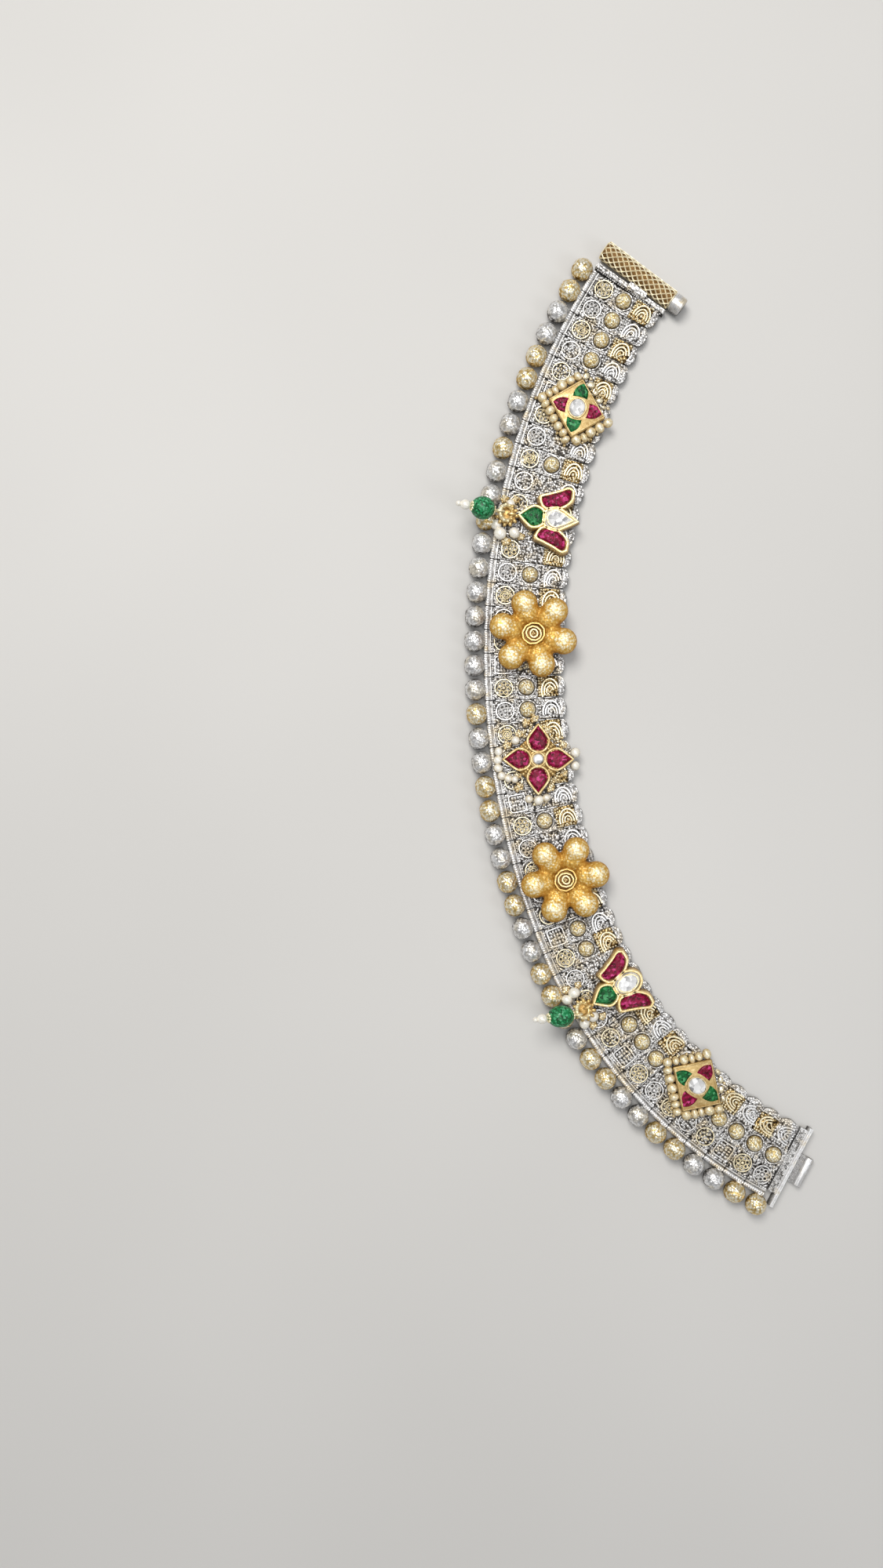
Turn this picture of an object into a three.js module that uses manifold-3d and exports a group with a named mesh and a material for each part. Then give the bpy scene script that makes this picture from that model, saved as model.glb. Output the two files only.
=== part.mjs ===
// A payal anklet in silver and gold, unclasped and lying open on its back.
// Millimetres, +Z up. The anklet rests on z = 0 and is centred on the origin from above.
// A place on the band is given by its distance along the outer edge from the clasp end,
// and by how far it lies across the band, inward from that edge.

import * as THREE from 'three';
import { mergeVertices } from 'three/addons/utils/BufferGeometryUtils.js';
import Module from 'manifold-3d';

const wasm = await Module();
wasm.setup();

// The outer edge of the band: three arcs, all bending the same way.
// The inward angle is the direction across the band at the start of the route.
const routeStart = { x: -10.276, y: 120.008, inward: -32.4 };
const routeArcs = [
  { length: 93.6, turn: 29.0 },
  { length: 91.4, turn: 25.3 },
  { length: 93.9, turn: 42.7 },
];

// The row of hinged links.
const rowCount = 44;
const rowPitch = 6.2;
const rowsStart = 0.4;
const rowGap = 0.35;
const linkEdge = 1.8;
const linkShoulder = 17.6;
const bandWidth = 20.9;
const lobe = { length: 1.2, wide: 0.84, narrow: 0.36 };
const linkBottom = 1.0;
const linkTop = 2.0;
const hingeHeight = 1.6;
const hingeEnds = [2.4, 18.4];

// The relief on each link, rooted a little below the top of its plate.
const reliefRoot = linkTop - 0.5;
const rosette = { across: 4.9, radius: 2.7, top: 3.1, rimDrop: 0.4, slope: 0.2, sides: 8 };
const ball = { across: 10.7, radius: 2.0, top: 4.4, shoulder: 0.85, shoulderDrop: 0.9, sides: 10 };
const arch = {
  start: 13.1, end: 19.7, width: 4.1, top: 3.0,
  swell: 2.6, taper: 1.8, startWidth: 0.8, taperWidth: 0.78,
};

// The rail along the outer edge with its row of round beads.
const rail = { inner: 1.5, outer: -0.25, bottom: 1.0, top: 2.8 };
const bead = { count: 44, radius: 2.8, across: -2.75, start: 2.2, pitch: 6.28, sides: 10, levels: 4 };

// Clearance between pieces that lie against each other.
const gap = 0.3;

// Medallions sit over the links and stand on a short foot.
const footBottom = linkTop + gap;
const medallionBottom = 3.5;
const footTop = medallionBottom + 0.5;

const silver = { color: 0xd9d9d4, roughness: 0.32, metalness: 1.0 };
const gold = { color: 0xd8b56a, roughness: 0.35, metalness: 1.0 };
const satinGold = { color: 0xd39a45, roughness: 0.5, metalness: 1.0 };
const ruby = { color: 0x9c1238, roughness: 0.08, metalness: 0.0 };
const emerald = { color: 0x0c5a2e, roughness: 0.08, metalness: 0.0 };
const whiteStone = { color: 0xe6e6e2, roughness: 0.1, metalness: 0.0 };
const pearl = { color: 0xe9e1cf, roughness: 0.25, metalness: 0.0 };

const radians = THREE.MathUtils.degToRad;

// The place on the outer edge at a distance, with the direction that points across the band.
function routeAt(distance) {
  let { x, y, inward } = routeStart;
  let bend = 0;
  let left = distance;
  for (const [index, arc] of routeArcs.entries()) {
    const isLast = index === routeArcs.length - 1;
    const part = isLast ? left : Math.min(left, arc.length);
    bend = radians(arc.turn) / arc.length;
    const before = radians(inward);
    const after = before + bend * part;
    x += (Math.cos(before) - Math.cos(after)) / bend;
    y += (Math.sin(before) - Math.sin(after)) / bend;
    inward = THREE.MathUtils.radToDeg(after);
    left -= part;
    if (left <= 0) break;
  }
  return { x, y, inward, bend };
}

// The frame at a place on the route: x across the band, y back towards the clasp end.
function frameAt(distance) {
  const place = routeAt(distance);
  const frame = new THREE.Matrix4().makeRotationZ(radians(place.inward));
  return frame.setPosition(place.x, place.y, 0);
}

function rowDistance(row) {
  return rowsStart + (row - 0.5) * rowPitch;
}

function solidOf(geometry) {
  const bare = geometry.clone();
  bare.deleteAttribute('normal');
  bare.deleteAttribute('uv');
  const merged = mergeVertices(bare, 1e-4);
  const mesh = new wasm.Mesh({
    numProp: 3,
    vertProperties: new Float32Array(merged.attributes.position.array),
    triVerts: new Uint32Array(merged.index.array),
  });
  return new wasm.Manifold(mesh);
}

function geometryOf(solid) {
  const mesh = solid.getMesh();
  const geometry = new THREE.BufferGeometry();
  geometry.setAttribute('position', new THREE.BufferAttribute(mesh.vertProperties, 3));
  geometry.setIndex(new THREE.BufferAttribute(mesh.triVerts, 1));
  geometry.computeVertexNormals();
  return geometry;
}

// All the shapes joined into one body, less the cutters.
function fuse(shapes, cutters = []) {
  let solid = shapes.map(solidOf).reduce((whole, next) => whole.add(next));
  for (const cutter of cutters) {
    solid = solid.subtract(solidOf(cutter));
  }
  return geometryOf(solid);
}

function moved(geometry, x, y, z = 0, turn = 0) {
  const frame = new THREE.Matrix4().makeRotationZ(radians(turn)).setPosition(x, y, z);
  return geometry.clone().applyMatrix4(frame);
}

function prism(outline, bottom, top) {
  const shape = new THREE.Shape(outline.map(([x, y]) => new THREE.Vector2(x, y)));
  const geometry = new THREE.ExtrudeGeometry(shape, { depth: top - bottom, bevelEnabled: false });
  return geometry.translate(0, 0, bottom);
}

function rectangle(halfLength, halfWidth) {
  return [[-1, -1], [1, -1], [1, 1], [-1, 1]].map(([x, y]) => [x * halfLength, y * halfWidth]);
}

function block(x0, x1, y0, y1, z0, z1) {
  const geometry = new THREE.BoxGeometry(x1 - x0, y1 - y0, z1 - z0);
  return geometry.translate((x0 + x1) / 2, (y0 + y1) / 2, (z0 + z1) / 2);
}

// A turned shape about the z axis, from its profile of radius and height.
function turned(profile, sides) {
  const points = profile.map(([radius, height]) => new THREE.Vector2(radius, height));
  return new THREE.LatheGeometry(points, sides).rotateX(Math.PI / 2);
}

function roundBead(radius, sides, levels) {
  return new THREE.SphereGeometry(radius, sides, levels).rotateX(Math.PI / 2);
}

// A straight round bar along the x axis.
function barAlongX(radius, x0, x1, sides) {
  const geometry = new THREE.CylinderGeometry(radius, radius, x1 - x0, sides);
  return geometry.rotateZ(Math.PI / 2).translate((x0 + x1) / 2, 0, 0);
}

// A round bead on the x axis with a hole through it.
function drilledBead(radius, length, hole, sides, levels) {
  const half = length / 2;
  const body = new THREE.SphereGeometry(radius, sides, levels).rotateZ(Math.PI / 2);
  body.scale(half / radius, 1, 1);
  return fuse([body], [barAlongX(hole, -half - 1, half + 1, 6)]);
}

// A drop-shaped outline: round at the back, pointed at the front, centred on its length.
function dropOutline(length, width, margin = 0) {
  const radius = width / 2 + margin;
  const backCentre = -length / 2 + width / 2;
  const backAngles = [62, 98, 139, 180, 221, 262, 298];
  const back = backAngles.map((angle) => [
    backCentre + radius * Math.cos(radians(angle)),
    radius * Math.sin(radians(angle)),
  ]);
  return [[length / 2 + margin * 1.4, 0], ...back];
}

// A petal outline: its middle line bends sideways, its base is blunt and its tip pointed.
function petalOutline(length, width, bend, margin = 0) {
  const widths = [
    { along: -0.5, half: 0.42 },
    { along: -0.25, half: 0.96 },
    { along: 0.05, half: 1.0 },
    { along: 0.32, half: 0.6 },
  ];
  const side = (sign) => widths.map(({ along, half }) => [
    along * (length + 2 * margin),
    bend * (4 * along * along - 0.4) + sign * (half * width / 2 + margin),
  ]);
  const tip = [length / 2 + margin * 1.3, bend * 0.6 + bend * 0.3];
  return [...side(-1), tip, ...side(1).reverse()];
}

function turnPoint(x, y, angle) {
  const turn = radians(angle);
  return [x * Math.cos(turn) - y * Math.sin(turn), x * Math.sin(turn) + y * Math.cos(turn)];
}

function ovalOutline(length, width, sides, margin = 0) {
  return Array.from({ length: sides }, (_, index) => {
    const angle = (index / sides) * 2 * Math.PI;
    return [(length / 2 + margin) * Math.cos(angle), (width / 2 + margin) * Math.sin(angle)];
  });
}

// A cut stone over an outline: flat back, straight girdle, sloping facets and a flat table.
function cutStone(outline, back, girdle, table, tableScale = 0.6) {
  const count = outline.length;
  const middleX = outline.reduce((sum, point) => sum + point[0], 0) / count;
  const middleY = outline.reduce((sum, point) => sum + point[1], 0) / count;
  const small = outline.map(([x, y]) => [
    middleX + (x - middleX) * tableScale,
    middleY + (y - middleY) * tableScale,
  ]);
  const rings = [
    { points: outline, height: back },
    { points: outline, height: girdle },
    { points: small, height: table },
  ];
  const positions = rings.flatMap(({ points, height }) => points.flatMap(([x, y]) => [x, y, height]));
  const triangles = [];
  for (let ring = 0; ring < rings.length - 1; ring += 1) {
    for (let corner = 0; corner < count; corner += 1) {
      const low = ring * count + corner;
      const lowNext = ring * count + ((corner + 1) % count);
      triangles.push(low, lowNext, lowNext + count, low, lowNext + count, low + count);
    }
  }
  const cap = (points) => THREE.ShapeUtils.triangulateShape(
    points.map(([x, y]) => new THREE.Vector2(x, y)), [],
  );
  const tableStart = count * (rings.length - 1);
  cap(outline).forEach(([a, b, c]) => triangles.push(a, c, b));
  cap(small).forEach(([a, b, c]) => triangles.push(tableStart + a, tableStart + b, tableStart + c));
  const geometry = new THREE.BufferGeometry();
  geometry.setAttribute('position', new THREE.Float32BufferAttribute(positions, 3));
  geometry.setIndex(triangles);
  geometry.computeVertexNormals();
  return geometry;
}

function addPiece(group, name, geometry, finish) {
  const mesh = new THREE.Mesh(geometry, new THREE.MeshStandardMaterial(finish));
  mesh.name = name;
  group.add(mesh);
  return mesh;
}

// Where each medallion sits: its link row, how far across, and its own turn.
// The long side of a square runs at a further turn of its own, and a drop may lie swung aside.
const medallions = [
  { name: 'square_top', row: 6.35, across: 12.3, turn: 6, longTurn: -45 },
  { name: 'lotus_top', row: 11.55, across: 9.2, turn: 4 },
  { name: 'flower_top', row: 16.7, across: 12.3, turn: -12.4 },
  { name: 'star', row: 22.25, across: 11.8, turn: -8 },
  { name: 'flower_bottom', row: 27.7, across: 11.6, turn: -7.8 },
  { name: 'lotus_bottom', row: 33.2, across: 9.7, turn: 1, dropSwing: -27 },
  { name: 'square_bottom', row: 39.1, across: 13.6, turn: 10, longTurn: 45 },
];

// The ground that each kind of medallion covers, as round patches in its own frame.
const covers = {
  square: [{ x: 0, y: 0, radius: 8.1 }],
  lotus: [
    { x: -0.4, y: 0, radius: 3.3 },
    { x: 5.4, y: 4.8, radius: 4.0 },
    { x: 5.4, y: -4.8, radius: 4.0 },
    { x: 8.0, y: 0, radius: 3.8 },
  ],
  flower: [{ x: 0, y: 0, radius: 5.4 }, ...roundAbout(6, 8.4, 3.2)],
  star: [{ x: 0, y: 0, radius: 3.2 }, ...roundAbout(4, 5.6, 3.4)],
};
const footReach = 3.0;

function roundAbout(count, distance, radius) {
  return Array.from({ length: count }, (_, index) => {
    const [x, y] = turnPoint(distance, 0, (index / count) * 360);
    return { x, y, radius };
  });
}

function medallionKind(medallion) {
  return medallion.name.split('_')[0];
}

function medallionFrame(medallion) {
  const shift = new THREE.Matrix4().makeTranslation(medallion.across, 0, 0);
  const turn = new THREE.Matrix4().makeRotationZ(radians(medallion.turn));
  return frameAt(rowDistance(medallion.row)).multiply(shift).multiply(turn);
}

// True where relief of this radius would meet a medallion, or would be out of sight under it.
function isCovered(row, across, radius, isTall) {
  const here = new THREE.Vector3(across, 0, 0).applyMatrix4(frameAt(rowDistance(row)));
  return medallions.some((medallion) => {
    const frame = medallionFrame(medallion);
    const middle = new THREE.Vector3().setFromMatrixPosition(frame);
    if (here.distanceTo(middle) < footReach + radius + gap) return true;
    return covers[medallionKind(medallion)].some((patch) => {
      const centre = new THREE.Vector3(patch.x, patch.y, 0).applyMatrix4(frame);
      const clear = isTall ? patch.radius + radius + gap : patch.radius;
      return here.distanceTo(centre) < clear;
    });
  });
}

// One link: a plate with a rounded inner lobe, narrower towards the inside of the bend.
function linkPlate(bend) {
  const halfWidth = (across) => (rowPitch * (1 - bend * across) - rowGap) / 2;
  const outer = halfWidth(linkEdge);
  const shoulder = halfWidth(linkShoulder);
  const outline = [
    [linkEdge, -outer],
    [linkShoulder, -shoulder],
    [bandWidth - lobe.length, -shoulder * lobe.wide],
    [bandWidth, -shoulder * lobe.narrow],
    [bandWidth, shoulder * lobe.narrow],
    [bandWidth - lobe.length, shoulder * lobe.wide],
    [linkShoulder, shoulder],
    [linkEdge, outer],
  ];
  return prism(outline, linkBottom, linkTop);
}

function rosetteRelief() {
  const profile = [
    [0, reliefRoot],
    [rosette.radius, reliefRoot],
    [rosette.radius - rosette.slope, rosette.top - rosette.rimDrop],
    [0, rosette.top],
  ];
  return moved(turned(profile, rosette.sides), rosette.across, 0);
}

function ballRelief() {
  const profile = [
    [0, reliefRoot],
    [ball.radius, reliefRoot],
    [ball.radius * ball.shoulder, ball.top - ball.shoulderDrop],
    [0, ball.top],
  ];
  return moved(turned(profile, ball.sides), ball.across, 0);
}

function archRelief() {
  const half = arch.width / 2;
  const outline = [
    [arch.start, -half * arch.startWidth],
    [arch.start + arch.swell, -half],
    [arch.end - arch.taper, -half * arch.taperWidth],
    [arch.end, 0],
    [arch.end - arch.taper, half * arch.taperWidth],
    [arch.start + arch.swell, half],
    [arch.start, half * arch.startWidth],
  ];
  return prism(outline, reliefRoot, arch.top);
}

// The hinge bar under the joint between two links, six-sided with a flat to rest on.
function hingeBar() {
  const radius = hingeHeight / 2 / Math.cos(radians(30));
  const bar = new THREE.CylinderGeometry(radius, radius, hingeEnds[1] - hingeEnds[0], 6);
  bar.rotateY(radians(30)).rotateZ(Math.PI / 2);
  return bar.translate((hingeEnds[0] + hingeEnds[1]) / 2, 0, hingeHeight / 2);
}

function linkBand() {
  const archMiddle = (arch.start + arch.end) / 2;
  const archReach = (arch.end - arch.start) / 2;
  const shapes = [];
  for (let row = 1; row <= rowCount; row += 1) {
    const frame = frameAt(rowDistance(row));
    const parts = [linkPlate(routeAt(rowDistance(row)).bend)];
    if (!isCovered(row, rosette.across, rosette.radius, false)) parts.push(rosetteRelief());
    if (!isCovered(row, ball.across, ball.radius, true)) parts.push(ballRelief());
    if (!isCovered(row, archMiddle, archReach, false)) parts.push(archRelief());
    parts.forEach((part) => shapes.push(part.applyMatrix4(frame)));
  }
  for (let joint = 1; joint < rowCount; joint += 1) {
    shapes.push(hingeBar().applyMatrix4(frameAt(rowDistance(joint + 0.5))));
  }
  return fuse(shapes);
}

function beadDistance(number) {
  return bead.start + (number - 1) * bead.pitch;
}

// The rail: a strip along the outer edge, which the beads are soldered to.
function railStrip() {
  const bandEnd = rowsStart + rowCount * rowPitch;
  const steps = rowCount / 2;
  const edge = (across) => Array.from({ length: steps + 1 }, (_, step) => {
    const distance = rowsStart + (step / steps) * (bandEnd - rowsStart - rowGap);
    const point = new THREE.Vector3(across, 0, 0).applyMatrix4(frameAt(distance));
    return [point.x, point.y];
  });
  return prism([...edge(rail.outer), ...edge(rail.inner).reverse()], rail.bottom, rail.top);
}

function beadEdge() {
  const shapes = [railStrip()];
  for (let number = 1; number <= bead.count; number += 1) {
    const round = moved(roundBead(bead.radius, bead.sides, bead.levels), bead.across, 0, bead.radius);
    shapes.push(round.applyMatrix4(frameAt(beadDistance(number))));
  }
  return fuse(shapes);
}

// The square medallion, a little longer one way: four leaf stones about an oval one.
const square = {
  long: 11.8,
  short: 10.3,
  foot: 2.2,
  collar: 1.0,
  top: 5.0,
  floor: 4.3,
  leaf: { length: 4.6, width: 3.7, centre: 4.15 },
  middle: { length: 3.8, width: 3.4 },
  stoneTop: 5.7,
};

function addSquare(group, medallion) {
  const leafAt = (margin, angle) => dropOutline(square.leaf.length, square.leaf.width, margin)
    .map(([x, y]) => turnPoint(x + square.leaf.centre, y, angle));
  const corners = rectangle(square.long / 2, square.short / 2)
    .map(([x, y]) => turnPoint(x, y, medallion.longTurn));
  const collar = ovalOutline(square.middle.length, square.middle.width, 12, square.collar);
  const angles = [0, 90, 180, 270];
  const pockets = angles.map((angle) => prism(leafAt(gap, angle), square.floor, square.top + 1));
  const middle = (margin) => ovalOutline(square.middle.length, square.middle.width, 10, margin);
  pockets.push(prism(middle(gap), square.floor, square.top + 1));
  const setting = fuse([
    prism(corners, medallionBottom, square.top),
    prism(collar, medallionBottom, square.top + 0.3),
    prism(rectangle(square.foot, square.foot), footBottom, footTop),
  ], pockets);
  addPiece(group, `${medallion.name}_setting`, setting, gold);
  const girdle = square.top + 0.1;
  const back = square.floor + gap;
  const leaves = [
    { name: 'ruby_1', angle: 0, finish: ruby },
    { name: 'emerald_1', angle: 90, finish: emerald },
    { name: 'ruby_2', angle: 180, finish: ruby },
    { name: 'emerald_2', angle: 270, finish: emerald },
  ];
  for (const leaf of leaves) {
    const stone = cutStone(leafAt(0, leaf.angle), back, girdle, square.stoneTop);
    addPiece(group, `${medallion.name}_${leaf.name}`, stone, leaf.finish);
  }
  const centre = cutStone(middle(0), back, girdle + 0.3, square.stoneTop + 0.3, 0.55);
  addPiece(group, `${medallion.name}_white_stone`, centre, whiteStone);
}

// The lotus: a drop-shaped emerald at the base, a white heart stone and two ruby petals.
// Its own origin is the middle of the base stone, and its tip points inward across the band.
const lotus = {
  top: 6.2,
  floor: 5.3,
  stoneTop: 6.9,
  rim: 0.85,
  base: { x: -0.4, y: 0, turn: 180, length: 6.0, width: 4.6 },
  heart: { x: 6.9, y: 0, turn: 0, length: 8.2, width: 5.2 },
  petal: { x: 5.7, y: 5.2, turn: 24, length: 7.6, width: 3.3, bend: 0.9 },
  foot: { halfLength: 2, halfWidth: 1.8 },
  bridge: { x0: 0.5, x1: 5.5, halfWidth: 3.6, top: 4.7 },
};

// The gold ring that hangs on an eye at the lotus's base, and the drop on it.
const ring = { radius: 1.9, wire: 0.45, tilt: 34 };
const eye = { x: -5.6, z: 5.3, radius: 1.05, wire: 0.3 };
const dropBead = { x: -13.3, z: 8.8, radius: 3.0, length: 6.3 };
const dropPin = { radius: 0.4, hole: 0.72, eye: 1.05 };
const tipPearl = { radius: 1.3 };

function placedOutline(points, spot) {
  return points.map(([x, y]) => {
    const [turnedX, turnedY] = turnPoint(x, y, spot.turn);
    return [turnedX + spot.x, turnedY + spot.y];
  });
}

function addLotus(group, medallion) {
  const drop = (spot, margin) => placedOutline(dropOutline(spot.length, spot.width, margin), spot);
  const petal = (sign, margin) => placedOutline(
    petalOutline(lotus.petal.length, lotus.petal.width, sign * lotus.petal.bend, margin),
    { x: lotus.petal.x, y: sign * lotus.petal.y, turn: sign * lotus.petal.turn },
  );
  const outlines = [
    { name: 'emerald', finish: emerald, at: (margin) => drop(lotus.base, margin) },
    { name: 'white_stone', finish: whiteStone, at: (margin) => drop(lotus.heart, margin) },
    { name: 'ruby_1', finish: ruby, at: (margin) => petal(1, margin) },
    { name: 'ruby_2', finish: ruby, at: (margin) => petal(-1, margin) },
  ];
  const walls = outlines.map((stone) => prism(stone.at(lotus.rim), medallionBottom, lotus.top));
  const { foot, bridge } = lotus;
  walls.push(prism(rectangle(foot.halfLength, foot.halfWidth), footBottom, footTop));
  walls.push(block(
    bridge.x0, bridge.x1, -bridge.halfWidth, bridge.halfWidth, medallionBottom, bridge.top,
  ));
  const loop = new THREE.TorusGeometry(eye.radius, eye.wire, 5, 10).rotateX(Math.PI / 2);
  walls.push(loop.translate(eye.x, 0, eye.z));
  const pockets = outlines.map((stone) => prism(stone.at(gap), lotus.floor, lotus.top + 1));
  addPiece(group, `${medallion.name}_setting`, fuse(walls, pockets), gold);
  for (const stone of outlines) {
    const shape = cutStone(stone.at(0), lotus.floor + gap, lotus.top + 0.1, lotus.stoneTop);
    addPiece(group, `${medallion.name}_${stone.name}`, shape, stone.finish);
  }
}

// The ring, the pin that runs from it through the emerald bead, and the pearl at its tip.
function addDrop(group, medallion) {
  const tilt = radians(ring.tilt);
  const ringFar = {
    x: eye.x - 2 * ring.radius * Math.cos(tilt),
    z: eye.z + 2 * ring.radius * Math.sin(tilt),
  };
  const hoop = new THREE.TorusGeometry(ring.radius, ring.wire, 6, 12).rotateY(tilt);
  hoop.translate((eye.x + ringFar.x) / 2, 0, (eye.z + ringFar.z) / 2);
  addPiece(group, `${medallion.name}_drop_ring`, fuse([hoop]), gold);

  // The pin's own frame runs from the ring outward along its x axis.
  const slope = Math.atan2(dropBead.z - ringFar.z, ringFar.x - dropBead.x);
  const beadAt = Math.hypot(dropBead.z - ringFar.z, ringFar.x - dropBead.x);
  const swung = new THREE.Group();
  swung.position.set(ringFar.x, 0, ringFar.z);
  swung.rotation.z = radians(medallion.dropSwing ?? 0);
  group.add(swung);
  const drop = new THREE.Group();
  drop.rotation.set(0, slope, Math.PI);
  swung.add(drop);
  const beadEnd = beadAt + dropBead.length / 2;
  const pearlAt = beadEnd + gap + tipPearl.radius;
  const pinEnd = pearlAt + tipPearl.radius + gap;
  const pinEye = new THREE.TorusGeometry(dropPin.eye, eye.wire, 5, 10).rotateX(Math.PI / 2);
  const pinHead = roundBead(0.7, 6, 4).translate(pinEnd + 0.5, 0, 0);
  const pin = fuse([pinEye, barAlongX(dropPin.radius, dropPin.eye, pinEnd + 0.5, 6), pinHead]);
  addPiece(drop, `${medallion.name}_drop_pin`, pin, gold);
  const green = drilledBead(dropBead.radius, dropBead.length, dropPin.hole, 12, 6);
  addPiece(drop, `${medallion.name}_drop_emerald`, green.translate(beadAt, 0, 0), emerald);
  const tip = drilledBead(tipPearl.radius, 2 * tipPearl.radius, dropPin.hole, 10, 4);
  addPiece(drop, `${medallion.name}_drop_pearl`, tip.translate(pearlAt, 0, 0), pearl);
}

// The flower: six puffed petals that end in a round tip, about a turned boss.
const flower = {
  petals: 6,
  tipAt: 8.4,
  tipRadius: 3.2,
  tipHeight: 5.4,
  rootRadius: 1.1,
  bossRadius: 3.1,
  footRadius: 2.4,
  bossRise: { edge: 0.7, shoulder: 1.6, top: 1.9 },
};

function addFlower(group, medallion) {
  const { tipAt, tipRadius, tipHeight, rootRadius, bossRadius, footRadius, bossRise } = flower;
  const middle = medallionBottom + tipHeight / 2;
  const boss = turned([
    [0, footBottom],
    [footRadius, footBottom],
    [bossRadius, medallionBottom],
    [bossRadius, middle + bossRise.edge],
    [bossRadius * 0.6, middle + bossRise.shoulder],
    [0, middle + bossRise.top],
  ], 10);
  const petal = turned([
    [0, 1],
    [rootRadius, 2],
    [tipRadius * 0.72, tipAt - tipRadius * 0.8],
    [tipRadius, tipAt],
    [tipRadius * 0.72, tipAt + tipRadius * 0.7],
    [0, tipAt + tipRadius],
  ], 10);
  petal.rotateY(Math.PI / 2).scale(1, 1, tipHeight / 2 / tipRadius).translate(0, 0, middle);
  const shapes = [boss];
  for (let count = 0; count < flower.petals; count += 1) {
    shapes.push(moved(petal, 0, 0, 0, (count / flower.petals) * 360));
  }
  addPiece(group, medallion.name, fuse(shapes), satinGold);
}

// The star: four ruby drops that point outward about a round white stone.
const star = {
  top: 4.9,
  floor: 4.1,
  stoneTop: 5.6,
  rim: 0.7,
  drop: { length: 6.3, width: 4.6, centre: 5.45 },
  centre: 2.4,
  hubRim: 0.9,
  foot: 4.6,
};

function addStar(group, medallion) {
  const angles = [0, 90, 180, 270];
  const dropAt = (margin, angle) => dropOutline(star.drop.length, star.drop.width, margin)
    .map(([x, y]) => turnPoint(x + star.drop.centre, y, angle));
  const centreAt = (margin) => ovalOutline(star.centre, star.centre, 10, margin);
  const walls = angles.map((angle) => prism(dropAt(star.rim, angle), medallionBottom, star.top));
  walls.push(prism(centreAt(star.hubRim), medallionBottom, star.top));
  walls.push(prism(ovalOutline(star.foot, star.foot, 8), footBottom, footTop));
  const pockets = angles.map((angle) => prism(dropAt(gap, angle), star.floor, star.top + 1));
  pockets.push(prism(centreAt(gap), star.floor, star.top + 1));
  addPiece(group, 'star_setting', fuse(walls, pockets), gold);
  angles.forEach((angle, index) => {
    const stone = cutStone(dropAt(0, angle), star.floor + gap, star.top + 0.1, star.stoneTop);
    addPiece(group, `star_ruby_${index + 1}`, stone, ruby);
  });
  const centre = cutStone(centreAt(0), star.floor + gap, star.top + 0.2, star.stoneTop + 0.1, 0.55);
  addPiece(group, 'star_white_stone', centre, whiteStone);
}

// The clasp end: a plate with a tab, and a barrel whose screw pin has a round knob.
const clasp = {
  turn: -3,
  forward: 0.5,
  barTop: 2.6,
  barWidth: 1.2,
  barEnds: [-0.2, 21.3],
  tab: { x0: 9.7, x1: 15.0, top: 3.6, thick: 1.2 },
  barrel: { turn: -1.6, radius: 2.6, bore: 1.75, ends: [-0.6, 21.0], y: 4.7, z: 2.75, slot: 1.3 },
  pin: { radius: 0.65, end: 1.5 },
  knob: { radius: 2.4, length: 3.2 },
};

function addClasp(group) {
  const { barrel, tab, pin, knob } = clasp;
  const plate = fuse([
    block(clasp.barEnds[0], clasp.barEnds[1], 0, clasp.barWidth, 0, clasp.barTop),
    block(tab.x0, tab.x1, 0.2, clasp.barWidth + 0.7, clasp.barTop - 0.6, tab.top),
  ], [barrelRound(barrel.radius + gap, -5, 30, 24)]);
  addPiece(group, 'clasp_end_plate', plate, silver);
  const slot = block(-5, 30, 0.5, 8, barrel.z - barrel.slot / 2, barrel.z + barrel.slot / 2);
  const slotFrame = barrelFrame().multiply(new THREE.Matrix4().makeTranslation(0, 0, -barrel.z));
  const tube = fuse(
    [barrelRound(barrel.radius, barrel.ends[0], barrel.ends[1], 16)],
    [barrelRound(barrel.bore, -5, 30, 12), slot.applyMatrix4(slotFrame)],
  );
  addPiece(group, 'clasp_barrel', tube, gold);
  const knobStart = barrel.ends[1] + gap;
  const knobMiddle = knobStart + knob.length / 2;
  const screw = fuse([
    barrelRound(pin.radius, pin.end, knobMiddle, 10),
    barrelRound(knob.radius, knobStart, knobStart + knob.length, 16),
  ]);
  addPiece(group, 'clasp_pin', screw, silver);
}

// The barrel's axis, as a frame whose x axis runs along it.
function barrelFrame() {
  const { barrel } = clasp;
  const frame = new THREE.Matrix4().makeRotationZ(radians(barrel.turn));
  return frame.setPosition(0, barrel.y, barrel.z);
}

function barrelRound(radius, x0, x1, sides) {
  return barAlongX(radius, x0, x1, sides).applyMatrix4(barrelFrame());
}

// The other end: a granulated end plate, a bar, and the tongue with its rolled edge.
const tongue = {
  plateEdges: [1.9, 20.4],
  barEdges: [-1.6, 21.3],
  plateStart: 0.3,
  plateEnd: 2.3,
  barEnd: 3.4,
  barTop: 2.6,
  x0: 6.4,
  x1: 14.2,
  reach: 7.6,
  bottom: 0.9,
  top: 1.7,
  rollRadius: 1.25,
  rollBore: 0.7,
};

function addTongue(group) {
  const { x0, x1, reach, rollRadius, plateEdges, barEdges } = tongue;
  const rollZ = rollRadius;
  const rollY = -(reach - rollRadius);
  const roll = (radius, from, to, sides) => barAlongX(radius, from, to, sides).translate(0, rollY, rollZ);
  const plate = fuse([
    block(...plateEdges, -tongue.plateEnd - 0.2, -tongue.plateStart, linkBottom, linkTop + 0.4),
    block(...barEdges, -tongue.barEnd, -tongue.plateEnd, 0, tongue.barTop),
    block(x0, x1, rollY, -tongue.barEnd + 0.2, tongue.bottom, tongue.top),
    roll(rollRadius, x0, x1, 12),
  ], [roll(tongue.rollBore, x0 - 1, x1 + 1, 8)]);
  addPiece(group, 'tongue_end_plate', plate, silver);
}

function groupAt(frame) {
  const group = new THREE.Group();
  frame.decompose(group.position, group.quaternion, group.scale);
  return group;
}

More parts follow.
